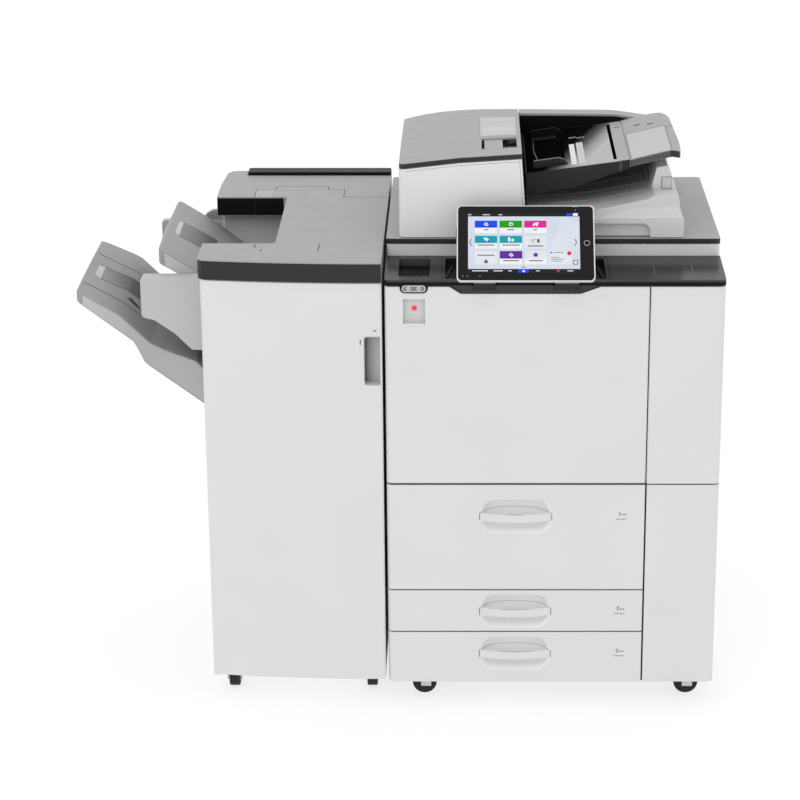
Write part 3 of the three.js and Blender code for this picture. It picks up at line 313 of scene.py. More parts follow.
# The finish of the CAD model's nodes and the rounding of their edges in millimetres.
NODE_LOOK = (
    (STEEL, 0.6, "main_frame"),
    (STEEL, 0.5, "drawer_1_box drawer_2_box drawer_3_box"),
    (STEEL, 0.8, "front_caster_yoke_left front_caster_yoke_right"),
    (WARM, 1.5, "rear_cover feeder_output_tray"),
    (WHITE, 0.8, "left_cover"),
    (WHITE, 0.9, "pillar_upper_cover pillar_lower_cover"),
    (WHITE, 1.0, "right_cover scanner_housing finisher_cabinet"),
    (WHITE, 1.1, "front_door drawer_1_front drawer_2_front drawer_3_front"),
    (WHITE, 1.2, "drawer_1_grip drawer_2_grip drawer_3_grip finisher_door"),
    (BRIGHT, 1.5, "feeder_left_cover"),
    (GREY, 0.8, "feeder_latch"),
    (GREY, 1.2, "scanner_top_frame"),
    (GREY, 1.6, "finisher_top_cover"),
    (GREY, 2.0, "feeder_rear_cover feeder_top_cover tray_wing"),
    (PLATE, 0.8, "tray_extension"),
    (TRAY, 3.0, "upper_tray shift_tray"),
    (HOUSING, 2.0, "exit_housing"),
    (SILVER, 1.0, "operation_panel"),
    (DARK, 0.8, "inner_cover"),
    (DARK, 1.0, "feeder_base"),
    (DARK, 1.2, "feeder_hinge_left feeder_hinge_right"),
    (DARK, 1.5, "toner_bottle front_side_guide rear_side_guide stapler_unit"),
    (CHARCOAL, 1.2, "original_tray"),
    (SHELF, 1.0, "control_shelf"),
    (SCREEN_GLASS, 0.4, "panel_display"),
    (BLACK, 0.5, "panel_key"),
    (BLACK, 1.0, "scan_carriage"),
    (BLACK, 1.5, "finisher_rear_bar"),
    (RUBBER, 0.5, "pickup_roller"),
    (RUBBER, 0.8, "fusing_roller pressure_roller"),
    (RUBBER, 2.5, "front_wheel_left front_wheel_right rear_wheel_left rear_wheel_right"),
    (RUBBER, 2.5, "finisher_wheel_left finisher_wheel_right"),
    (DRUM, 0.8, "photoconductor_drum"),
    (FOAM, 0.8, "platen_pad"),
    (GLASS, 0.3, "exposure_glass"),
)

# Nodes with bowls, slots or louvres in their faces keep their own faces under the rounding.
PIERCED = (
    "drawer_1_front drawer_2_front drawer_3_front rear_cover finisher_cabinet main_frame "
    "right_cover inner_cover"
).split()


def soften(obj, width, segments=3, angle=24):
    """Rounds an object's sharp edges and gives its flat faces flat shading."""
    bevel = obj.modifiers.new("edges", "BEVEL")
    bevel.width = width * MM
    bevel.segments = segments
    bevel.limit_method = "ANGLE"
    bevel.angle_limit = radians(angle)
    bevel.use_clamp_overlap = True
    bevel.miter_outer = "MITER_ARC"
    obj.modifiers.new("normals", "WEIGHTED_NORMAL").keep_sharp = True
    for polygon in obj.data.polygons:
        polygon.use_smooth = True


def dress_node(name, material, width):
    """Gives a node of the CAD model its finish and its rounded edges."""
    obj = nodes[name]
    obj.data.materials.clear()
    obj.data.materials.append(material)
    obj.modifiers.new("weld", "WELD").merge_threshold = 2e-5
    if name in PIERCED:
        soften(obj, width, angle=60)
        return
    planar = obj.modifiers.new("planar", "DECIMATE")
    planar.decimate_type = "DISSOLVE"
    planar.angle_limit = radians(0.25)
    soften(obj, width)


for finish, rounding, names in NODE_LOOK:
    for node_name in names.split():
        dress_node(node_name, finish, rounding)


# ---- meshes of the added pieces ----


def arc_outline(corners, steps=6):
    """A closed outline through corners (x, y, radius), each rounded by an arc."""
    points = []
    count = len(corners)
    for i, corner in enumerate(corners):
        here = Vector(corner[:2])
        radius = corner[2] if len(corner) > 2 else 0
        if not radius:
            points.append(tuple(here))
            continue
        back = (Vector(corners[i - 1][:2]) - here).normalized()
        ahead = (Vector(corners[(i + 1) % count][:2]) - here).normalized()
        half = acos(max(-1, min(1, back.dot(ahead)))) / 2
        centre = here + (back + ahead).normalized() * (radius / sin(half))
        start = here + back * (radius / tan(half)) - centre
        end = here + ahead * (radius / tan(half)) - centre
        a0 = atan2(start.y, start.x)
        sweep = (atan2(end.y, end.x) - a0 + pi) % (2 * pi) - pi
        for k in range(steps + 1):
            a = a0 + sweep * k / steps
            points.append((centre.x + radius * cos(a), centre.y + radius * sin(a)))
    return points


def rect(x0, x1, y0, y1, r=0, steps=5):
    return arc_outline([(x0, y0, r), (x1, y0, r), (x1, y1, r), (x0, y1, r)], steps)


AXIS_ORDER = {
    "x": lambda p, d: (d, p[0], p[1]),
    "y": lambda p, d: (p[0], d, p[1]),
    "z": lambda p, d: (p[0], p[1], d),
}


def put(name, data):
    obj = bpy.data.objects.new(name, data)
    bpy.context.scene.collection.objects.link(obj)
    return obj


class Piece:
    """Collects solids given in layout millimetres and makes one object of them."""

    def __init__(self, name, body, slot, place=at):
        self.name, self.body, self.slot, self.place = name, body, slot, place
        self.mesh = bmesh.new()
        self.materials = []

    def index(self, material):
        if material not in self.materials:
            self.materials.append(material)
        return self.materials.index(material)

    def face(self, verts, material):
        try:
            face = self.mesh.faces.new(verts)
        except ValueError:
            return
        face.material_index = self.index(material)

    def loft(self, rings, material):
        """Joins closed rings of equal length into a solid."""
        made = [[self.mesh.verts.new(self.place(*p)) for p in ring] for ring in rings]
        size = len(made[0])
        for low, high in zip(made, made[1:]):
            for i in range(size):
                j = (i + 1) % size
                self.face((low[i], low[j], high[j], high[i]), material)
        self.face(made[0][::-1], material)
        self.face(made[-1], material)

    def prism(self, points, axis, low, high, material):
        """A solid of the outline, which is drawn in the two other axes, along one axis."""
        order = AXIS_ORDER[axis]
        self.loft([[order(p, low) for p in points], [order(p, high) for p in points]], material)

    def ribbon(self, path, width, axis, low, high, material):
        """A flat strip along an open path, which is drawn in the two other axes."""
        order = AXIS_ORDER[axis]
        last = len(path) - 1
        rings = []
        for i, point in enumerate(path):
            here = Vector(point)
            ahead = Vector(path[min(i + 1, last)]) - Vector(path[max(i - 1, 0)])
            side = Vector((-ahead.y, ahead.x)).normalized() * (width / 2)
            a, b = here - side, here + side
            rings.append([order(a, low), order(b, low), order(b, high), order(a, high)])
        self.loft(rings, material)

    def strip(self, rows, material):
        """A strip of (outer point, inner point, lower height, upper height) stations."""
        self.loft([
            [(*outer, low), (*outer, high), (*inner, high), (*inner, low)]
            for outer, inner, low, high in rows
        ], material)

    def disc(self, x, y, radius, low, high, material, sides=20):
        """A round plate in the x-y plane of the piece's placement."""
        self.lathe([(radius, low), (radius, high)], (x, y), "z", material, sides)

    def lathe(self, profile, centre, axis, material, sides=32):
        """Turns (radius, height) round an axis through centre, given by its two other coordinates."""
        order = AXIS_ORDER[axis]
        last = 2 * pi * (1 - 1 / sides)
        self.loft([
            [order(point, height) for point in arc(*centre, radius, 0, last, sides)]
            for radius, height in profile
        ], material)

    def slab(self, us, vs, top, bottom, material, spot=lambda u, v: (u, v)):
        """A slab over a grid between two height functions of (x, y)."""
        def grid(height):
            spots = [[spot(u, v) for u in us] for v in vs]
            return [
                [self.mesh.verts.new(self.place(x, y, height(x, y))) for x, y in row]
                for row in spots
            ]

        upper, lower = grid(top), grid(bottom)
        for j in range(len(vs) - 1):
            for i in range(len(us) - 1):
                cell = ((j, i), (j, i + 1), (j + 1, i + 1), (j + 1, i))
                self.face([upper[a][b] for a, b in cell], material)
                self.face([lower[a][b] for a, b in reversed(cell)], material)
        right, back = len(us) - 1, len(vs) - 1
        rim = [(0, i) for i in range(right)] + [(j, right) for j in range(back)]
        rim += [(back, i) for i in range(right, 0, -1)] + [(j, 0) for j in range(back, 0, -1)]
        for (a, b), (c, d) in zip(rim, rim[1:] + rim[:1]):
            self.face((lower[a][b], lower[c][d], upper[c][d], upper[a][b]), material)

    def layer(self, us, vs, low, high, material, spot=lambda u, v: (u, v)):
        """A slab between two even heights above the surface the piece lies on."""
        self.slab(us, vs, lambda x, y: high, lambda x, y: low, material, spot)

    def done(self, bevel=0.6, segments=2, replaces=(), angle=30, smooth=False):
        bmesh.ops.recalc_face_normals(self.mesh, faces=self.mesh.faces)
        data = bpy.data.meshes.new(self.name)
        self.mesh.to_mesh(data)
        self.mesh.free()
        for material in self.materials:
            data.materials.append(material)
        obj = put(self.name, data)
        if bevel:
            soften(obj, bevel, segments, angle)
        else:
            for polygon in data.polygons:
                polygon.use_smooth = smooth
            if smooth:
                data.set_sharp_from_angle(angle=radians(angle))
        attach(obj, self.body)
        if replaces:
            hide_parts(*replaces)
        return obj


# ---- operation panel ----

PANEL_TILT = radians(48)
PANEL_AXIS = (-5, 931)
PANEL_FACE = 13.45  # height of the glass above the tilt axis
PRINT_LOW = 0.02  # the picture's layers stand this far above the glass


def on_panel(x, up, out):
    """A point of the tilted panel: x across, up the panel, out above its glass."""
    out += PANEL_FACE
    y = PANEL_AXIS[0] + up * cos(PANEL_TILT) - out * sin(PANEL_TILT)
    z = PANEL_AXIS[1] + up * sin(PANEL_TILT) + out * cos(PANEL_TILT)
    return at(x, y, z)


WALLPAPER = lit("screen_wallpaper", 211, 219, 232)
WALLPAPER_LIGHT = lit("screen_wallpaper_light", 219, 225, 236)
BAR_BLACK = lit("screen_bar", 26, 26, 28)
TILE_WHITE = lit("screen_tile", 238, 240, 243)
TILE_PALE = lit("screen_tile_pale", 226, 229, 234)
TILE_BLUE = lit("screen_blue", 16, 72, 232)
TILE_GREEN = lit("screen_green", 32, 158, 6)
TILE_MAGENTA = lit("screen_magenta", 226, 30, 150)
TILE_TEAL = lit("screen_teal", 4, 160, 172)
TILE_PURPLE = lit("screen_purple", 94, 42, 152)
INK = lit("screen_ink", 92, 96, 102)
SCREEN_RED = lit("screen_red", 216, 40, 50)
LED_CYAN = lit("led_cyan", 110, 205, 225, 1.1)
LED_RED = lit("led_red", 228, 72, 82)
GLYPH = lit("printed_glyph", 120, 122, 124, 0.8)
LED_HALO = lit("led_halo", 226, 190, 190, 0.95)
LED_GLOW = lit("led_glow", 233, 140, 144, 0.95)
KEY_RING = lit("key_ring", 176, 178, 184, 0.9)


# The lit picture on the panel, and its tiles in columns (left, right) and rows (low, high, split).
SCREEN_LEFT, SCREEN_RIGHT = 169.1, 395.1
SCREEN_LOW, SCREEN_HIGH = 33.4, 151.3
COLUMNS = [(182.7, 228.1), (232.9, 278.5), (282.9, 328.1)]
ROWS = [(113.3, 141.8, 125.9), (78.7, 107.7, 91.4), (43.6, 73.4, 56.4)]
HEADS = [
    (TILE_BLUE, TILE_GREEN, TILE_MAGENTA),
    (TILE_TEAL, TILE_TEAL, None),
    (None, TILE_PURPLE, TILE_PALE),
]
LABEL_HALVES = (4.5, 7, 3.5, 17, 18, 16, 17, 16, 14)


def build_screen():
    """The display's picture of blank tiles and bars, and the lamps round it."""
    ui = Piece("panel_screen", "panel", "display_black", on_panel)

    def shape(points, height, material):
        ui.prism(points, "z", PRINT_LOW, height, material)

    def plate(x0, x1, y0, y1, level, material, r=0.0):
        shape(rect(x0, x1, y0, y1, r, 3), 0.06 + 0.06 * level, material)

    def bars(pairs, y0, y1):
        for x0, x1 in pairs:
            plate(x0, x1, y0, y1, 2, TILE_PALE, 0.7)

    plate(SCREEN_LEFT, SCREEN_RIGHT, SCREEN_LOW, SCREEN_HIGH, 0, WALLPAPER)
    plate(SCREEN_LEFT, SCREEN_RIGHT, SCREEN_HIGH, SCREEN_HIGH + 7.6, 0, BAR_BLACK)
    plate(SCREEN_LEFT, SCREEN_RIGHT, SCREEN_LOW - 8.6, SCREEN_LOW, 0, BAR_BLACK)
    edge = SCREEN_RIGHT - 0.2
    top = [(360, SCREEN_HIGH - 0.2), (edge, SCREEN_HIGH - 14)]
    shape(top + [(edge, SCREEN_LOW + 45), (334, SCREEN_LOW + 40), (342, 95)], 0.09, WALLPAPER_LIGHT)

    for j, (y0, y1, split) in enumerate(ROWS):
        for i, (x0, x1) in enumerate(COLUMNS):
            head, last_row = HEADS[j][i], j == 2
            plate(x0, x1, y0, y1, 1, TILE_WHITE if head else TILE_PALE, 1.4)
            if head:
                plate(x0, x1, split, y1, 2, head, 1.2)
                label, icon = split - 4.6, (split + y1) / 2
            else:
                label, icon = (y1 - 9.5, y0 + 7) if last_row else (y0 + 6, y1 - 11)
            middle = (x0 + x1) / 2
            half = LABEL_HALVES[3 * j + i]
            plate(middle - half, middle + half, label - 1.1, label + 1.1, 3, INK, 0.7)
            draw_icon(ui, middle, icon, 3 * j + i)

    # information card, its dots and the small settings square
    plate(333.1, 378.3, 43.6, 73.4, 1, TILE_PALE, 1.4)
    for k, width in enumerate((17, 26, 21)):
        plate(336, 336 + width, 58.4 - 4.1 * k, 59.6 - 4.1 * k, 3, INK, 0.5)
    plate(341, 362, 69.6, 70.9, 3, INK, 0.5)
    ui.disc(373.3, 68.3, 4.4, PRINT_LOW, 0.26, SCREEN_RED)
    ui.disc(336.9, 70.2, 2.0, PRINT_LOW, 0.26, TILE_BLUE, 16)
    plate(380.8, 390.8, 43.2, 53.2, 2, INK, 0.8)
    plate(382.4, 389.2, 44.8, 51.6, 3, TILE_PALE, 0.4)

    # page arrows and page dots
    for x, side in ((174.5, -1), (386.7, 1)):
        tip, tail = x + side * 3.3, x - side * 3.3
        for y in (101, 85):
            shape([(tail, y), (tail + side * 1.8, y), (tip, 93.1), (tip - side * 1.8, 93.1)], 0.2, INK)
    for k in range(5):
        x = 258 + 11.4 * k
        plate(x - 4, x + 4, 36.6, 38.2, 2, TILE_BLUE if k == 2 else TILE_WHITE, 0.6)

    # status bar and key bar
    bars(((168.8, 176), (198.5, 213.5), (231, 238.5)), 154.4, 156.2)
    plate(368.5, 380, 152.4, 158.4, 2, TILE_BLUE, 0.6)
    plate(382, 392, 152.4, 158.8, 2, TILE_WHITE, 0.6)
    bars(((177, 209), (220, 239), (250, 257), (306, 313), (369, 381)), 28.2, 30.2)
    plate(270.5, 291.5, 25.3, 32.9, 2, TILE_BLUE, 0.6)
    shape([(278, 28), (281, 31.6), (284, 28), (283, 26.6), (279, 26.6)], 0.26, TILE_WHITE)
    ui.disc(350.6, 29.2, 3.0, PRINT_LOW, 0.26, SCREEN_RED)

    # lamps and printed marks round the screen
    shape(rect(381, 392.5, 173.2, 175.8, 1.2, 3), 0.3, LED_CYAN)
    ui.disc(386.8, 165.6, 1.6, PRINT_LOW, 0.08, GLYPH, 16)
    for x in (158.5, 167.6, 193):
        ui.disc(x, 17.6, 1.7, PRINT_LOW, 0.08, GLYPH, 16)
    ui.done(bevel=0)


def draw_icon(ui, x, y, kind):
    """A small generic pictogram of sheets, arrows or dots round (x, y)."""
    ink = INK if kind in (5, 6, 8) else TILE_WHITE

    def shape(points, height=0.26, material=ink):
        ui.prism([(x + dx, y + dy) for dx, dy in points], "z", PRINT_LOW, height, material)

    def disc(dx, dy, radius, height, material, sides=20):
        ui.disc(x + dx, y + dy, radius, PRINT_LOW, height, material, sides)

    if kind in (0, 7):
        shape([(-5, 0), (0, 4.6), (5.6, -0.6), (1, -5)])
        shape([(-2, 1), (-0.6, 2.2), (2.6, -1), (1.4, -2.4)], 0.32, TILE_BLUE)
    elif kind == 1:
        disc(0.5, 0, 4.4, 0.26, ink)
        disc(1.2, -0.6, 2.4, 0.32, TILE_GREEN)
    elif kind == 2:
        shape([(-6.4, -3), (-1, 4), (2, 2), (-2, -4)])
        shape([(0.4, -3.6), (2.6, 4.4), (7, 3.6), (4, -4.4)])
    elif kind == 3:
        shape([(-6, 3.6), (1, 4), (6.4, -0.4), (2, -4.6), (-3, -0.6)])
        shape([(3, -2.4), (7.4, -2.4), (7.4, -5), (3, -5)], 0.32, TILE_BLUE)
    elif kind == 4:
        shape(rect(-6, -1.4, -4.8, 4.8, 1, 2))
        shape(rect(0.8, 6, -4.8, 1.4, 1, 2))
    elif kind == 5:
        shape([(-9, -1), (-5, 4), (-4, 2.8), (-7.2, -1.4)])
        shape([(-7, -4), (-2.4, -1.6), (-2.8, -3), (-6.4, -5)])
        disc(0, 2.6, 1.2, 0.3, TILE_BLUE, 12)
        shape(rect(3.2, 8.4, -4.6, 3.6, 1, 2))
    elif kind == 6:
        shape(rect(-4.4, 4.4, -4.2, -0.4, 1, 2))
        shape(rect(-2.6, 2.6, -0.6, 3.4, 0.6, 2))
    else:
        disc(0, 0, 4.6, 0.2, TILE_PURPLE)
        shape([(-2, -4.4), (4.6, -1.6), (4.4, 2.6)], 0.26, TILE_BLUE)
        shape([(-4, 1), (-0.4, 4.6), (0.6, 0.4)], 0.28, SCREEN_RED)


BARREL = 8.75  # radius of the hinge barrels' covers


def build_knuckles():
    """Dark rounded covers of the panel's two hinge barrels, and the ring of its key."""
    def on_axis(x, up, out):
        return on_panel(x, up, out - PANEL_FACE)

    covers = Piece("panel_knuckles", "panel", "dark_plastic", on_axis)
    section = arc(0, 0, BARREL, radians(50), radians(352), 28)
    section += [(14.3, 0.9), (14.3, 6.85)]
    for x0, x1 in ((179.7, 224.3), (343.7, 393.3)):
        covers.prism(section, "x", x0, x1, CHARCOAL)
    covers.done(bevel=0.8)
    ring = Piece("panel_key_ring", "key", "panel_silver", on_panel)
    ring.ribbon(arc(409.5, 91.5, 5.6, 0, 2 * pi, 33), 1.3, "z", -0.1, 0.25, KEY_RING)
    ring.done(bevel=0)


# ---- surfaces of the model that the added pieces lie on ----


def white_top(x):
    """Top edge of the feeder's white cover."""
    return mix(1133, 1147, (x - 27) / 123) if x < 150 else mix(1147, 1156, (x - 150) / 140)


def crown(x, y):
    """The feeder's grey top cover."""
    across = clamp((x - 27) / 252)
    back = clamp((y - 150) / 448)
    rear = 1158 - 23.5 * (1 - across) ** 3.2
    return mix(white_top(x) + 12, rear, back) + 2.5 * sin(pi * back)


def tray_top(x, y):
    return 1112.5 + 0.13532 * (x - 285)


def wing_top(x, y):
    return 1143 + 0.24551 * (min(x, 588) - 505) - 0.012 * max(0, x - 588) ** 2


STACK_FLOOR = [(292, 1036.2), (410, 1045.8), (430, 1048.2), (450, 1051.8), (532, 1068.8)]
STACK_FLOOR += [(541, 1071.6), (547, 1075.5), (550.5, 1083), (560, 1122)]


def stack_floor(x, y):
    """The surface under the original tray where read originals land."""
    return along(STACK_FLOOR, x)


def shelf_top(x, y):
    return 943.5 + 0.0567 * (y + 3)


FINISHER_TOP = 980


def finisher_top(x, y):
    return FINISHER_TOP


def bow(x):
    """Depth of the finisher's bowed front."""
    return (x + 30) ** 2 / 4700


def raised(surface, height):
    return lambda x, y: surface(x, y) + height


def over(surface):
    """Placement for a piece whose third coordinate is its height above a surface."""
    return lambda x, y, out: at(x, y, surface(x, y) + out)


def wrap(side, front, back, radius, depth, low, high):
    """Stations of a strip round the front of the main unit, from its left to its right side."""
    right = MAIN_WIDTH - side
    corners = [(side, back), (side, front, radius), (right, front, radius), (right, back)]
    centre = (MAIN_WIDTH / 2, 300)
    path = arc_outline(corners, 7)
    return [((x, y), inward(x, y, centre, depth), low, high) for x, y in path]


BAND_HALF = 0.45  # half the thickness of the glossy bands


def across_band(x, y, dx, dy):
    """Outer and inner point of a glossy band at (x, y), whose outward direction is (dx, dy)."""
    out_x, out_y = dx * BAND_HALF, dy * BAND_HALF
    return (x + out_x, y + out_y), (x - out_x, y - out_y)


def band_corner(centre, radius, start, sweep, steps):
    """Stations of a band round a corner, without the corner's two ends."""
    stations = []
    for k in range(1, steps):
        a = radians(start + sweep * k / steps)
        dx, dy = cos(a), sin(a)
        stations.append((centre[0] + radius * dx, centre[1] + radius * dy, dx, dy))
    return stations


# ---- document feeder ----


FEEDER_LEFT, FEEDER_FRONT, FEEDER_CORNER = 27.5, 151, 12


def build_feeder_band():
    """Glossy dark edge round the top cover."""
    band = Piece("feeder_band", "feeder_cover", "display_black")
    centre = (FEEDER_LEFT + FEEDER_CORNER, FEEDER_FRONT + FEEDER_CORNER)
    path = [(FEEDER_LEFT, y, -1, 0) for y in span(480, centre[1], 9)]
    path += band_corner(centre, FEEDER_CORNER, 180, 90, 8)
    path += [(x, FEEDER_FRONT, 0, -1) for x in span(centre[0], 278.6, 14)]
    rows = []
    for x, y, dx, dy in path:
        low, high = white_top(x) + 1.9, min(white_top(x) + 10.9, crown(x, y) - 1.1)
        rows.append((*across_band(x, y, dx, dy), low, high))
    band.strip(rows, GLOSS)
    band.done(bevel=0.25)


def build_feeder_seams():
    """Shadow lines on the white covers and the dark lining behind the trays."""
    seam = Piece("feeder_seams", "feeder", "dark_plastic")
    rim = [(x, white_top(x) - 4.6) for x in span(42, 277, 12)]
    for path in (rim, [(274.4, 1150), (287, 992)]):
        seam.ribbon(path, 0.7, "y", 149.75, 150.6, FAINT)
    rear = [(283, 1112), (283, 1152.8), (388, 1152.4), (490, 1151.2), (584, 1136.6), (590, 1128)]
    seam.prism(rear + [(503, 1127), (400, 1119)], "y", 553.4, 556.8, BLACK)
    seam.done(bevel=0)


def build_feeder_window():
    """Dark well under the window of the top cover and the blank plate behind it."""
    well = Piece("feeder_window_well", "feeder_cover", "dark_plastic", over(crown))
    well.prism(rect(197.2, 269.8, 211.2, 297.8, 2), "z", -14, -12.6, BLACK)
    rib_low, rib_high = -12.8, -12.3
    well.prism(rect(246, 247.4, 212, 297), "z", rib_low, rib_high, DARK)
    curve = [(268 - 13 * cos(t), 262 - 26 * sin(t)) for t in span(-0.2, 1.5, 8)]
    well.ribbon(curve, 2.2, "z", rib_low, rib_high, HOUSING)
    well.done(bevel=0.3)
    plate = Piece("feeder_top_plate", "feeder_cover", "cover_grey", over(crown))
    plate.layer(span(194.5, 271.5, 4), span(319.5, 505.5, 12), -0.6, 0.35, PLATE)
    for y0, y1 in ((336, 352), (362, 404)):
        plate.layer([200, 232, 266], span(y0, y1, 4), 0, 0.5, PLATE_PALE)
    for x in (193.8, 272.2):
        plate.ribbon([(x, y) for y in span(318.8, 506.2, 12)], 1.2, "z", -0.5, 0.12, FAINT)
    for y in (318.8, 506.2):
        plate.ribbon([(193.4, y), (233, y), (272.6, y)], 1.4, "z", -0.5, 0.12, FAINT)
    for y in (305.5, 206):
        plate.ribbon([(193, y), (233, y), (274, y)], 1.3, "z", -0.5, 0.1, FAINT)
    plate.done(bevel=0)


def build_original_tray():
    """Printed guides and paper marks of the sloping original tray, its slots painted black as their
    shade, and its surface painted with a reflection and shade.
    """
    top = Piece("original_tray_surface", "tray", "tray_grey", over(tray_top))
    # The tray's surface with its painted reflection and shade.
    top.layer([290, 390, 479], span(201, 548, 6), -0.5, 0.25, TRAY_REFLECTION_SHADE)
    top.layer([479, 502.6], [203.5, 548], -0.5, 0.25, GREY)
    # Slots painted black as their shade, and the printed guides.
    for start, end, width, high, finish in (
        ((486, 496), (497, 496), 4.5, 0.4, SLOT_SHADE),
        ((474, 220), (474, 530), 7, 0.4, SLOT_SHADE),
        ((368, 285), (368, 433), 7.5, 0.4, SLOT_SHADE),
        ((389.5, 222), (389.5, 397), 11, 0.42, STRIPE),
        ((406, 222), (406, 404), 14, 0.34, STRIPE_SOFT),
    ):
        top.ribbon([start, end], width, "z", 0, high, finish)
    for y in span(234, 394, 9):
        top.ribbon([(402, y), (410, y)], 1.2, "z", 0, 0.44, FAINT)
    for x0, x1, y in ((386, 401, 455), (403, 419, 447)):
        for x in span(x0 + 2, x1 - 2, 3):
            top.prism(rect(x - 2.2, x + 2.2, y - 5, y + 5, 1.4, 2), "z", 0, 0.42, FAINT)
    top.ribbon([(377, 201.8), (480, 201.8)], 2.2, "z", -0.3, 0.25, STRIPE_SOFT)
    top.ribbon([(309, 530), (309, 372)], 2.0, "z", 0, 0.4, DARK)
    top.ribbon([(309, 372), (320, 236)], 2.6, "z", 0, 0.4, DARK)
    top.done(bevel=0)

    wing = Piece("tray_wing_surface", "tray", "cover_grey", over(wing_top))
    # Slots painted black as their shade.
    for x0, x1, y in ((527, 540, 477), (555, 568, 461)):
        wing.ribbon([(x0, y), (x1, y)], 4.5, "z", -0.3, 0.3, SLOT_SHADE)
    wing.ribbon([(593, 409), (600, 420), (606.5, 431)], 1.4, "z", -0.3, 0.25, DARK)
    wing.ribbon([(505.5, 431.5), (504.8, 436), (590, 421.5)], 1.3, "z", -0.3, 0.2, FAINT)
    wing.done(bevel=0)

    edge = Piece("tray_front_edge", "tray", "dark_plastic")
    tip = arc_outline([(597, 199.4), (607.3, 199.4, 14), (611.4, 300)], 7)[1:-1]
    front = [(x, 199.4) for x in span(509, 586, 6)]
    rounded = front[-1:] + tip + [(609.6, 240), (611.2, 290)]
    for path, finish in ((front, UMBER), (rounded, GLOSS)):
        rows = []
        for x, y in path:
            height = wing_top(x, y)
            rows.append(((x, y), inward(x, y, (540, 290), 1.4), height - 14.2, height - 1.4))
        edge.strip(rows, finish)
    joint = [(481.4, 1138.6), (486.6, 1139.3), (486.6, 1118.6), (481.4, 1116.8)]
    edge.prism(joint, "y", 199.6, 201, RECESS)
    edge.ribbon([(487.4, 1139), (487.4, 1118.6)], 0.8, "y", 199.3, 201, DARK)
    edge.ribbon([(506.4, 1141.8), (506.4, 1129)], 4.4, "y", 199.5, 201, RECESS)
    edge.done(bevel=0)


def build_side_guides():
    """Upright paper guides, low at the left and rounded at the right end; the front one has a painted
    highlight along its ridge, and the rear one is painted black as its shade.
    """
    # The rear guide is painted black as its shade; the front one keeps its grey with a painted
    # highlight on the ridge.
    for name, y, facing, finish, rim in (
        ("front", 232, 1, CHARCOAL, GUIDE_RIDGE_HIGHLIGHT),
        ("rear", 500, -1, BLACK, BLACK),
    ):
        guide = Piece(name + "_guide_fence", name + "_guide", "dark_plastic")
        fence = [(304.2, 1115.8), (304.2, 1130.6, 3), (357, 1138.4, 6), (368, 1135, 6)]
        fence += [(375.8, 1128.4, 3), (375.8, 1125.5)]
        guide.prism(arc_outline(fence), "y", y - 2.9, y + 2.9, finish)
        rows = sorted((y + facing * 2, y + facing * 33.5))
        guide.slab([306, 333, 359.5], rows, raised(tray_top, 2.7), raised(tray_top, 0.7), finish)
        ridge = [(305.4, 1131.6), (356.6, 1139.1), (366.6, 1136)]
        guide.ribbon(ridge, 0.9, "y", y - 1.9, y + 1.9, rim)
        guide.done(bevel=0.7, replaces=[name + "_side_guide"])


def build_stack_tray():
    """Receiving surface with its ribs, painted lighter towards its left end to make up for the shade
    there, and the stop slot in its rising end.
    """
    tray = Piece("stack_tray_surface", "feeder", "dark_plastic", over(stack_floor))
    xs = [293, 330, 370, 410, 430, 450, 490, 532, 541, 547, 550.5]
    # The receiving surface, with painted light at its shaded left end.
    tray.layer(xs, span(155, 555, 3), -1.5, 0.6, STACK_PAINTED_LIGHT)
    for y in (236, 300, 364):
        tray.ribbon([(x, y - (x - 293) * 0.02) for x in xs[:-2]], 1.6, "z", 0.3, 1.5, STACK_RIB)
    tray.done(bevel=0)
    stop = Piece("stack_tray_stop", "feeder", "tray_grey")
    swell = [(440, 1031), (470, 1040), (520, 1050), (598, 1056), (607, 1040), (608, 1029.4)]
    stop.prism(swell + [(440, 1029.4)], "y", 153.2, 154.4, STRIPE)
    stop.done(bevel=0.3)
    slot = Piece("stack_tray_slot", "feeder", "tray_grey")
    slot.prism(rect(569.5, 592, 1076.6, 1103, 2), "y", 214.3, 215.4, FAINT)
    slot.prism(rect(571.5, 591, 1078.6, 1101.4, 1.5), "y", 214.1, 215, STRIPE_SOFT)
    slot.done(bevel=0.25)


# ---- scanner ----


def build_scanner_band():
    """Glossy black front edge of the scanner's top and two seams of its left corner."""
    band = Piece("scanner_band", "main", "display_black")
    band.strip(wrap(-0.2, 147.8, 200, 7, 1.2, 977.4, 988.1), GLOSS)
    band.ribbon([(20, 165), (20, 190)], 1.2, "z", 988.6, 989.2, FAINT)
    band.ribbon([(7, 196), (25, 196)], 1.2, "z", 988.6, 989.2, FAINT)
    band.done(bevel=0.3)


# ---- control shelf and door ----


CORNER = 11  # rounding of the shelf's front corners


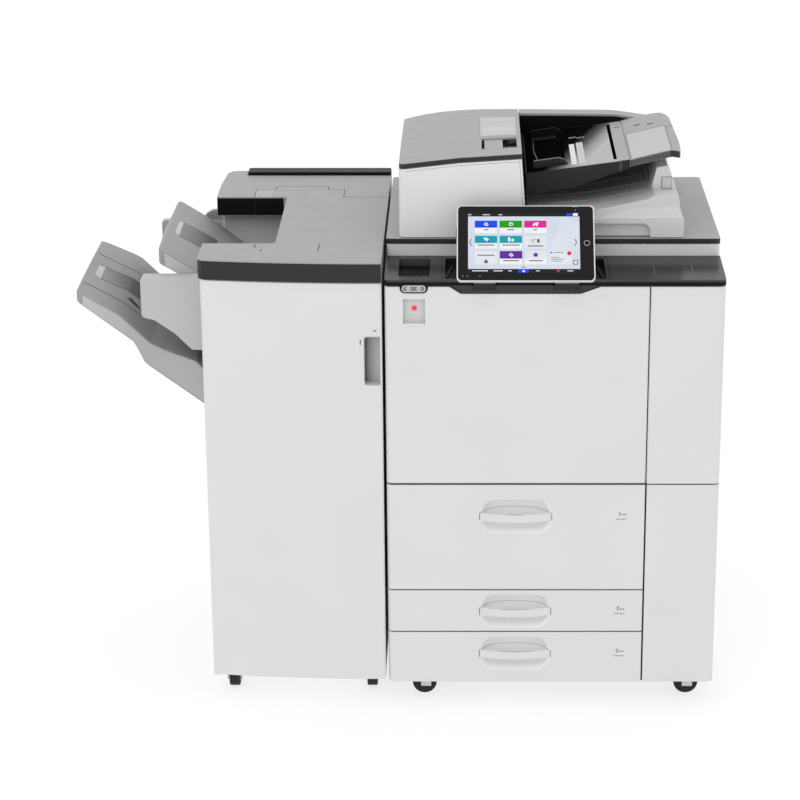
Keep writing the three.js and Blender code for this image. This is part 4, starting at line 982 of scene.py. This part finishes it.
def build_shelf():
    """Seams and outline of the shelf, its pockets' linings, front band and presence sensor."""
    shelf = Piece("shelf_trim", "main", "dark_plastic", over(shelf_top))
    for x in (116, 455):
        shelf.ribbon([(x, y) for y in (-1, 73, 147)], 1.3, "z", -0.6, 0.12, BLACK)
    ring = rect(548, 626, 26, 128, 9, 6)
    shelf.ribbon(ring + ring[:2], 1.3, "z", -0.6, 0.15, SHELF_LINE)
    shelf.done(bevel=0)

    well = Piece("shelf_pocket_lining", "main", "dark_plastic")
    well.prism(rect(28.4, 90.6, 22.4, 125.6, 5), "z", 935.2, 936.1, BLACK)
    well.prism(rect(29, 90, 124.6, 125.8), "z", 936, 949.8, RECESS)
    well.prism(rect(122.4, 447.6, 8.4, 130.6, 4), "z", 935.2, 936, BLACK)
    for x0, x1 in ((124, 137), (444, 432)):
        well.ribbon([(x0, 30), (x1, 118)], 4, "z", 935.8, 940, DARK)
    well.done(bevel=0.3)

    front = Piece("shelf_front_band", "main", "dark_plastic")
    front.strip(wrap(-0.3, -3.3, 120, CORNER, 1.0, 933.2, 939.6), BLACK)
    front.done(bevel=0.3)

    sensor = Piece("presence_sensor", "main", "panel_silver")
    sensor.prism(rect(35.4, 83.6, 919.6, 933.2, 6.6, 8), "y", -3.9, -2, SILVER)
    sensor.prism(rect(37.2, 81.8, 921.3, 931.5, 5, 8), "y", -4.2, -3, SENSOR_WINDOW)
    for x in (48.7, 69.5):
        sensor.lathe([(4.1, -4.6), (4.1, -3.2)], (x, 926.4), "y", STRIPE, 24)
        sensor.lathe([(2.4, -4.9), (2.4, -3.2)], (x, 926.4), "y", SEAM_LIGHT, 20)
    sensor.done(bevel=0.25)


def build_door():
    """Seams of the door's top edge, lining and lamp of its pull with the pull's floor painted brighter
    as a lit face, and a mark at its left edge.
    """
    door = Piece("door_trim", "front_door", "panel_white")
    for x0, x1 in ((12, 30), (88, 129)):
        door.ribbon([(x0, 929.1), (x1, 929.1)], 0.7, "y", -0.3, 0.4, STRIPE)
    # The pull's floor, painted brighter than the door as a lit face.
    door.prism(rect(37.9, 81.6, 846.4, 850.2), "y", 0.2, 13.8, BRIGHT)
    door.prism(rect(39.2, 80.4, 852, 900.6, 3), "y", 13.3, 14.4, SILVER)
    lamp = ((8.4, 13.1, LED_HALO), (6.2, 12.8, LED_GLOW), (4.2, 12.5, LED_RED))
    for radius, depth, finish in lamp:
        door.lathe([(radius, depth), (radius, 13.8)], (60, 880.8), "y", finish, 28)
    door.prism(rect(3.4, 9.6, 702.6, 711.4, 0.8, 2), "y", -0.2, 1.6, STRIPE)
    door.done(bevel=0.3)


def build_inner_trim():
    """Service plates, levers and knobs on the cover behind the front door."""
    trim = Piece("inner_cover_trim", "main", "dark_plastic")
    trim.ribbon(arc(150, 800, 50, 0, 2 * pi, 49), 5, "y", 22.2, 24.3, RECESS)
    for sides, depth in (
        ((232, 424, 548, 686, 10), 22.4),
        ((404, 528, 846, 904, 8), 22.4),
        ((30, 200, 548, 700, 10), 22.8),
    ):
        trim.prism(rect(*sides), "y", depth, 24.3, RECESS)
    for x in (250, 408, 44, 186):
        trim.lathe([(5, 24.2), (5, 21.6), (4, 21)], (x, 562), "y", STEEL, 20)
    for z in span(586, 666, 6):
        trim.prism(rect(60, 170, z, z + 5, 2), "y", 22.2, 23, BLACK)
    trim.done(bevel=0.5)

    levers = Piece("service_levers", "main", "drum_green")
    handle = arc_outline([(262, 628, 9), (262, 606, 9), (330, 606, 9), (330, 628, 9)], 6)
    levers.prism(handle, "y", 20.2, 22.8, LEVER)
    levers.lathe([(14, 22.8), (14, 20.6), (12.6, 19.8)], (272, 617), "y", LEVER, 32)
    levers.prism(rect(440, 500, 866, 884, 6), "y", 20.2, 22.8, LEVER)
    levers.done(bevel=0.7)


def build_seams():
    """What shows between the front panels: grey shadow strips just behind their faces."""
    seams = Piece("front_seams", "main", "panel_white")
    for z in (264, 168):
        seams.prism(rect(8, 537, z - 1.4, z + 1.4), "y", 1.6, 4, SEAM_GREY)
    seams.prism(rect(8, 537, 500.6, 504.8), "y", 1.6, 4, SEAM_GREY)
    seams.prism(rect(538.5, 539.4, 505, 932), "y", 1.8, 5, STRIPE)
    seams.prism(rect(536.7, 539.3, 53, 504), "y", 2.2, 5, BLACK)
    seams.done(bevel=0)


# ---- paper drawers ----

NUMERALS = {
    1: [[(-1.6, 6.4), (0.4, 8), (0.4, 0)]],
    2: [[(-2.2, 6.2), (-1.2, 7.6), (1, 7.7), (2.1, 6.3), (1.6, 4.4), (-2.2, 0.6), (2.4, 0.6)]],
    3: [[(-2.1, 7), (0, 7.9), (1.9, 6.6), (0.2, 4.3), (2.1, 2.4), (0.2, 0.3), (-2.2, 1.2)]],
}


# How deep the wall of a drawer's finger bowl lies at each distance in from its rim.
BOWL_WALL = [(0.25, 0.25), (3, 3.5), (6.4, 9), (9.6, 16), (12.4, 22), (17, 24.8)]
GRIP_MIDDLE = 268
GRIP_HALF = 74.1
BOWL_HALF_WIDTH = 74.5
BOWL_HALF_HEIGHT = 39.5
NUMERAL_X = 484.6


def grip_bow(s):
    """How far the bar comes forward and how high its top is, s from -1 to 1 along it."""
    swell = 1 - s * s
    return 1 - 7 * swell, 6.2 - 3.4 * swell


def build_drawer(number, grip, slit):
    """Grip bar of one drawer, the lining of its finger bowl painted brighter to make up for its shade,
    painted shadow lines and numeral.
    """
    body = "drawer_%d" % number
    bar = Piece(body + "_grip_bar", body, "panel_white")
    rows = []
    for t in span(-1, 1, 29):
        x = GRIP_MIDDLE + GRIP_HALF * t
        front, top = grip_bow(t)
        swell = 1 - t * t
        eased = 0.8 if abs(t) > 0.97 else 0
        low = grip - 11.9 - 1.9 * swell + eased
        rows.append(((x, front), (x, 4 + 4 * swell), low, grip + top - eased))
    bar.strip(rows, WHITE)
    bar.done(bevel=0.9, segments=3, angle=50, replaces=[body + "_grip"])

    # Painted light: the lining brighter than the front, against the shade in the bowl.
    lining = Piece(body + "_bowl", body, "panel_white")
    left, right = GRIP_MIDDLE - BOWL_HALF_WIDTH, GRIP_MIDDLE + BOWL_HALF_WIDTH
    low, high = grip - 2 - BOWL_HALF_HEIGHT, grip - 2 + BOWL_HALF_HEIGHT
    rings = []
    for inset, depth in [(11, 26.6), (-0.4, 0.9)] + BOWL_WALL:
        radius = max(14, 30 - inset)
        ring = rect(left + inset, right - inset, low + inset, high - inset, radius, 9)
        rings.append([(x, depth, z) for x, z in ring])
    lining.loft(rings, BOWL)
    lining.done(bevel=0, angle=60, smooth=True)

    marks = Piece(body + "_marks", body, "panel_white")
    # Painted shade along the crease of the bowl, above the bar.
    rows = []
    for t in span(-1, 1, 49):
        x = GRIP_MIDDLE + 73.4 * t
        depth = along(BOWL_WALL, BOWL_HALF_WIDTH - abs(x - GRIP_MIDDLE))
        z = grip + 5.5 + 13.5 * (1 - abs(t) ** 3.0) - 0.335 * depth
        rows.append(((x, depth - 0.5), (x, depth + 0.6), z, z + 0.9))
    marks.strip(rows, SOFT_SHADE)
    for x in (192.9, 343.2):
        marks.ribbon([(x, grip + 5.8), (x, grip - 10.4)], 1.3, "y", -0.25, 1.5, SEAM_GREY)
    # Painted shade in the gap behind the top of the bar.
    rows = []
    for t in span(-1, 1, 13):
        x = GRIP_MIDDLE + slit / 2 * t
        front, top = grip_bow((x - GRIP_MIDDLE) / GRIP_HALF)
        y, z = front + 2.2, grip + top
        rows.append(((x, y), (x, y + 1.3 * (1 - t * t) + 0.15), z - 0.3, z + 0.25))
    marks.strip(rows, DEEP_SHADE)
    for path in NUMERALS[number]:
        marks.ribbon([(NUMERAL_X + x, grip + z) for x, z in path], 1.7, "y", -0.12, 0.4, PRINT)
    dots = [(NUMERAL_X + 5.6 + 3.5 * k, 1.2, 1.1, 4.4, 0.7) for k in range(3)]
    for x, half in ((479.6, 1.6), (484, 1.6), (488, 0.9), (492.4, 1.8), (497.4, 1.2)):
        dots.append((x, half, -9, -6.4, 0.6))
    for x, half, low, high, radius in dots:
        dot = rect(x - half, x + half, grip + low, grip + high, radius, 2)
        marks.prism(dot, "y", -0.12, 0.4, PRINT_PALE)
    marks.done(bevel=0)


# ---- finisher ----


FINISHER_LEFT, FINISHER_CORNER = -379, 18.5


def build_finisher_band():
    """Glossy dark side of the finisher's top cover, dark linings of the notch over the tray, and
    painted shade on the walls of the cavity below it.
    """
    band = Piece("finisher_band", "main", "display_black")
    centre = (FINISHER_LEFT + FINISHER_CORNER, bow(-360) - 3 + FINISHER_CORNER)
    path = [(x, bow(x) - 3, 0, -1) for x in span(-6.3, -358, 16)]
    path += band_corner(centre, FINISHER_CORNER, -90, -90, 9)
    path += [(FINISHER_LEFT, y, -1, 0) for y in span(centre[1], 141, 4)]
    band.strip([(*across_band(*station), 938.6, 977.4) for station in path], GLOSS)
    band.prism(rect(-383.2, -236, 939, 977.2), "y", 511.3, 512.4, BLACK)
    band.ribbon([(-301, 939), (-301, 977)], 1.4, "y", 510.9, 512, DARK)
    band.prism(rect(154, 502, 939, 977), "x", -229.7, -228.6, BLACK)
    band.done(bevel=0.3)

    cavity = Piece("tray_cavity_painted_shade", "main", "dark_plastic")
    # Painted shade: the back wall darker towards the top, the right wall dark grey.
    cavity.prism(rect(-371, -230, 843, 936.6), "y", 543.2, 544.4, CAVITY_SHADE)
    cavity.prism(rect(143, 543, 843, 936.6), "x", -229.8, -228.8, DARK)
    cavity.done(bevel=0)

    lump = Piece("exit_housing_catch", "main", "tray_grey")
    hump = [(-421, 913), (-415, 927, 5), (-400, 935.6, 8), (-378, 936.6, 2), (-378, 913)]
    lump.prism(arc_outline(hump, 5), "y", 565, 579, TRAY)
    lump.done(bevel=2.0, segments=3)


def build_finisher_door():
    """Painted shade in the finisher door's pull: its lining darker to the left, its left wall and a
    shadow round its rim; and two small marks beside it.
    """
    pull = Piece("finisher_door_trim", "finisher_door", "panel_white")
    # Painted shade: the lining darker to the left, the left wall dark and a shadow round the rim.
    pull.prism(rect(-41.6, -11.5, 720.4, 822.6), "y", 23, 24.4, PULL_SHADE)
    pull.prism(rect(3, 23.4, 720.6, 822.4), "x", -42.4, -41.4, DEEP_SHADE)
    opening = arc_outline([(-10.5, 823.2), (-42.4, 823.2, 7), (-42.4, 719.8, 7), (-10.5, 719.8)], 6)
    pull.ribbon(opening, 1.4, "y", -0.3, 0.8, SOFT_SHADE)
    pull.prism(rect(-50.9, -48.9, 806, 817.5, 0.6, 2), "y", -0.2, 0.8, SEAM_GREY)
    pull.prism(rect(-24, -16.5, 834.2, 838.4, 0.8, 2), "y", -0.3, 0.6, SEAM_LIGHT)
    pull.done(bevel=0.2)


def build_finisher_top():
    """Joint lines and the hatch of the finisher's top cover."""
    top = Piece("finisher_top_lines", "main", "cover_grey", over(finisher_top))
    hatch = [(-301, 513), (-302, 577), (-258, 577), (-258, 602.6), (-143, 602.6)]
    hatch += [(-142, 577.6), (-105, 577.6), (-104.8, 510), (-9, 510)]
    for a, b in zip(hatch, hatch[1:]):
        top.ribbon([a, b], 1.5, "z", -0.3, 0.12, SEAM_DARK)
    top.prism(rect(-300.4, -262.6, 514, 576), "z", -0.3, 0.08, GREY_PALE)
    frame_line = rect(-261, -188, 514, 571, 2, 2)
    top.ribbon(frame_line + frame_line[:2], 1.1, "z", -0.3, 0.12, FAINT)
    for a, b in (
        ((-268.6, 133.7), (-269.4, 103.9)),
        ((-254.4, 99), (-255.4, 82.6)),
        ((-136.4, 135.3), (-138.1, 84.3)),
    ):
        top.ribbon([a, b], 2.0, "z", -0.3, 0.15, SEAM_DARK)
    top.done(bevel=0)


UPPER_TOP = [(-470, 966.5), (-395, 919.8), (-317, 858), (-232, 849)]
SHIFT_TOP = [(-641, 881), (-558, 831), (-494, 768), (-462, 752), (-400, 728), (-379, 706)]


def profile(stops):
    return lambda x, y: along(stops, x)


def inlay(piece, xs, low, high, material):
    """A thin recess floor between two edge lines on the surface a piece lies on."""
    def spot(u, v):
        return u, mix(along(low, u), along(high, u), v)

    piece.layer(xs, [0, 1], -0.5, 0.25, material, spot)


def groove(piece, path, width):
    piece.ribbon(path, width, "z", -0.4, 0.5, TRAY_LINE)


def build_output_trays():
    """Recess and groove lines of the two output trays, with painted shade in the recesses and a
    painted highlight on their bevels, and their side faces, painted lighter as lit faces.
    """
    upper = Piece("upper_tray_lines", "main", "tray_grey", over(profile(UPPER_TOP)))
    low = [(-446, 301.5), (-406.6, 307), (-376, 312)]
    high = [(-446, 402.4), (-416.9, 410.5), (-376, 422.5)]
    # The recess floor with painted shade, and its bevel with a painted highlight.
    inlay(upper, [-446, -430, -410, -395, -376], low, high, UPPER_RECESS_SHADE)
    upper.prism([(-454, 306), (-454, 397), high[0], low[0]], "z", -0.4, 0.4, BEVEL_HIGHLIGHT)
    groove(upper, [(x, along(high, x)) for x in span(-447, -376, 6)], 2.2)
    groove(upper, [(x, along(low, x)) for x in span(-446, -400, 4)], 1.4)
    upper.done(bevel=0)

    shift = Piece("shift_tray_lines", "shift_tray", "tray_grey", over(profile(SHIFT_TOP)))
    low = [(-613, 276.5), (-578, 287), (-539, 304), (-528, 309)]
    high = [(-625, 357), (-588.7, 368.6), (-549, 389), (-528, 400)]
    # The recess floor with painted shade, and its bevel with a painted highlight.
    inlay(shift, [-613, -600, -580, -558, -540, -528], low, high, SHIFT_RECESS_SHADE)
    bevel = [(-625, 284), (-625, 352), (-613, 360.8), low[0]]
    shift.prism(bevel, "z", -0.4, 0.4, BEVEL_HIGHLIGHT)
    high_stations = (-624, -606, -588.7, -570, -558, -549, -528)
    groove(shift, [(x, along(high, x)) for x in high_stations], 2.2)
    low_stations = (-613, -595, -578, -558, -539, -528)
    groove(shift, [(x, along(low, x)) for x in low_stations], 1.5)
    rear = [(-637, 421.5), (-616, 425), (-596.4, 428.4), (-574, 435.5), (-558, 440.6), (-540, 447)]
    front = [(-636.6, 201.6), (-608.8, 207), (-564.5, 211), (-558, 212.6), (-548.8, 215.6)]
    groove(shift, rear, 2.4)
    groove(shift, front + [(-525.7, 225.6)], 2.4)
    # The hollow is drawn as a flat dark patch that stands for its shade.
    hollow = [(-556, 254.6), (-542.8, 250), (-527.7, 252), (-531, 260), (-547, 269)]
    shift.prism(hollow, "z", -0.4, 0.5, DARK)
    shift.done(bevel=0)

    # Painted light: the front face lighter than the tray's top.
    side = Piece("upper_tray_side", "main", "tray_grey")
    rim = [(x, z - 2.2) for x, z in UPPER_TOP[1:3]]
    below = [(-334, 847.5), (-420, 905), (-459, 928.5), (-459, 957.3)]
    side.prism(rim + below, "y", 148.6, 149.6, UPPER_SIDE_LIT)
    side.done(bevel=0)

    # Painted light: the front face lighter than the tray's top.
    flank = Piece("shift_tray_side", "shift_tray", "tray_grey")
    rim = [(x, z - 2.4) for x, z in SHIFT_TOP[1:5]] + [(-381, 702)]
    below = [(-381, 634), (-496, 719), (-508, 728), (-524, 764.5), (-531, 774.5)]
    flank.prism(rim + below + [(-630, 850.5), (-630, 871.5)], "y", 129.6, 130.6, SHIFT_SIDE_LIT)
    flank.done(bevel=0)


# ---- back and feet ----


def build_back():
    """Screws and two blank plates on the rear cover, and the finisher's foot pads."""
    back = Piece("rear_fittings", "main", "panel_white")
    for x1, z0, z1 in ((250, 360, 430), (170, 250, 330)):
        back.prism(rect(60, x1, z0, z1, 6), "y", MAIN_DEPTH - 0.4, MAIN_DEPTH + 0.5, WARM)
    head = [(5.4, MAIN_DEPTH - 0.3), (5.4, MAIN_DEPTH + 0.4), (4.2, MAIN_DEPTH + 0.8)]
    for x in (24, MAIN_WIDTH / 2, 666):
        for z in (110, 470, 880):
            back.lathe(head, (x, z), "y", STEEL, 24)
            for wide, tall in ((3.4, 0.6), (0.6, 3.4)):
                cross = rect(x - wide, x + wide, z - tall, z + tall)
                back.prism(cross, "y", MAIN_DEPTH + 0.6, MAIN_DEPTH + 0.9, BLACK)
    back.done(bevel=0.3)
    feet = Piece("finisher_foot_pads", "main", "wheel_rubber")
    for x in (-336, -38):
        feet.lathe([(17.4, 0.3), (17.8, 5), (16.6, 9), (16.6, 14)], (x, 690), "z", RUBBER, 32)
    feet.done(bevel=0.6)


for build in (
    build_screen, build_knuckles, build_finisher_door, build_feeder_band, build_feeder_seams,
    build_feeder_window, build_original_tray, build_side_guides, build_stack_tray,
    build_scanner_band, build_shelf, build_door, build_inner_trim, build_seams,
):
    build()
for number, grip, slit in ((1, 432, 36), (2, 217, 63), (3, 119, 73)):
    build_drawer(number, grip, slit)
build_finisher_band()
build_finisher_top()
build_output_trays()
build_back()


# ---- camera, floor and light ----

FLOOR_HALF = 30.0
CAMERA_PITCH = 19.492


def build_stage():
    """A plain pale floor, far wider than the view."""
    data = bpy.data.meshes.new("floor")
    corners = [(x * FLOOR_HALF, y * FLOOR_HALF, 0) for x, y in ((-1, -1), (1, -1), (1, 1), (-1, 1))]
    data.from_pydata(corners, [], [(0, 1, 2, 3)])
    floor = put("floor", data)
    floor.location.z = -0.0005
    paint = Nodes("studio_floor")
    paint.feed("Base Color", paint.ramp(paint.noise(1.5, 2), [(0.3, grey(134)), (0.7, grey(138))]))
    paint.fill({"Roughness": 0.9, "Emission Color": (1, 1, 1, 1), "Emission Strength": 0.74})
    data.materials.append(paint.material)


def build_camera():
    data = bpy.data.cameras.new("camera")
    data.sensor_width = 36
    data.lens = 113.12
    data.shift_x = -0.0867
    camera = put("camera", data)
    camera.location = at(171.66, -4851.97, 2404.95)
    camera.rotation_euler = (radians(90 - CAMERA_PITCH), 0, 0)
    bpy.context.scene.camera = camera


def area_light(name, location, target, size, energy):
    data = bpy.data.lights.new(name, "AREA")
    data.shape = "RECTANGLE"
    data.size, data.size_y = size
    data.energy = energy
    lamp = put(name, data)
    lamp.location = location
    lamp.rotation_euler = (Vector(target) - Vector(location)).to_track_quat("-Z", "Y").to_euler()


def build_light():
    world = bpy.data.worlds.new("studio")
    bpy.context.scene.world = world
    world.use_nodes = True
    background = world.node_tree.nodes["Background"]
    background.inputs["Color"].default_value = (1, 1, 1, 1)
    background.inputs["Strength"].default_value = 1.0
    area_light("key", (-1.8, -3.6, 3.4), (0, 0, 0.6), (3.0, 2.2), 20)
    area_light("top", (0.4, 0.2, 4.2), (0, 0, 0.8), (4.0, 3.0), 14)
    bpy.context.scene.view_settings.view_transform = "Standard"


build_stage()
build_camera()
build_light()
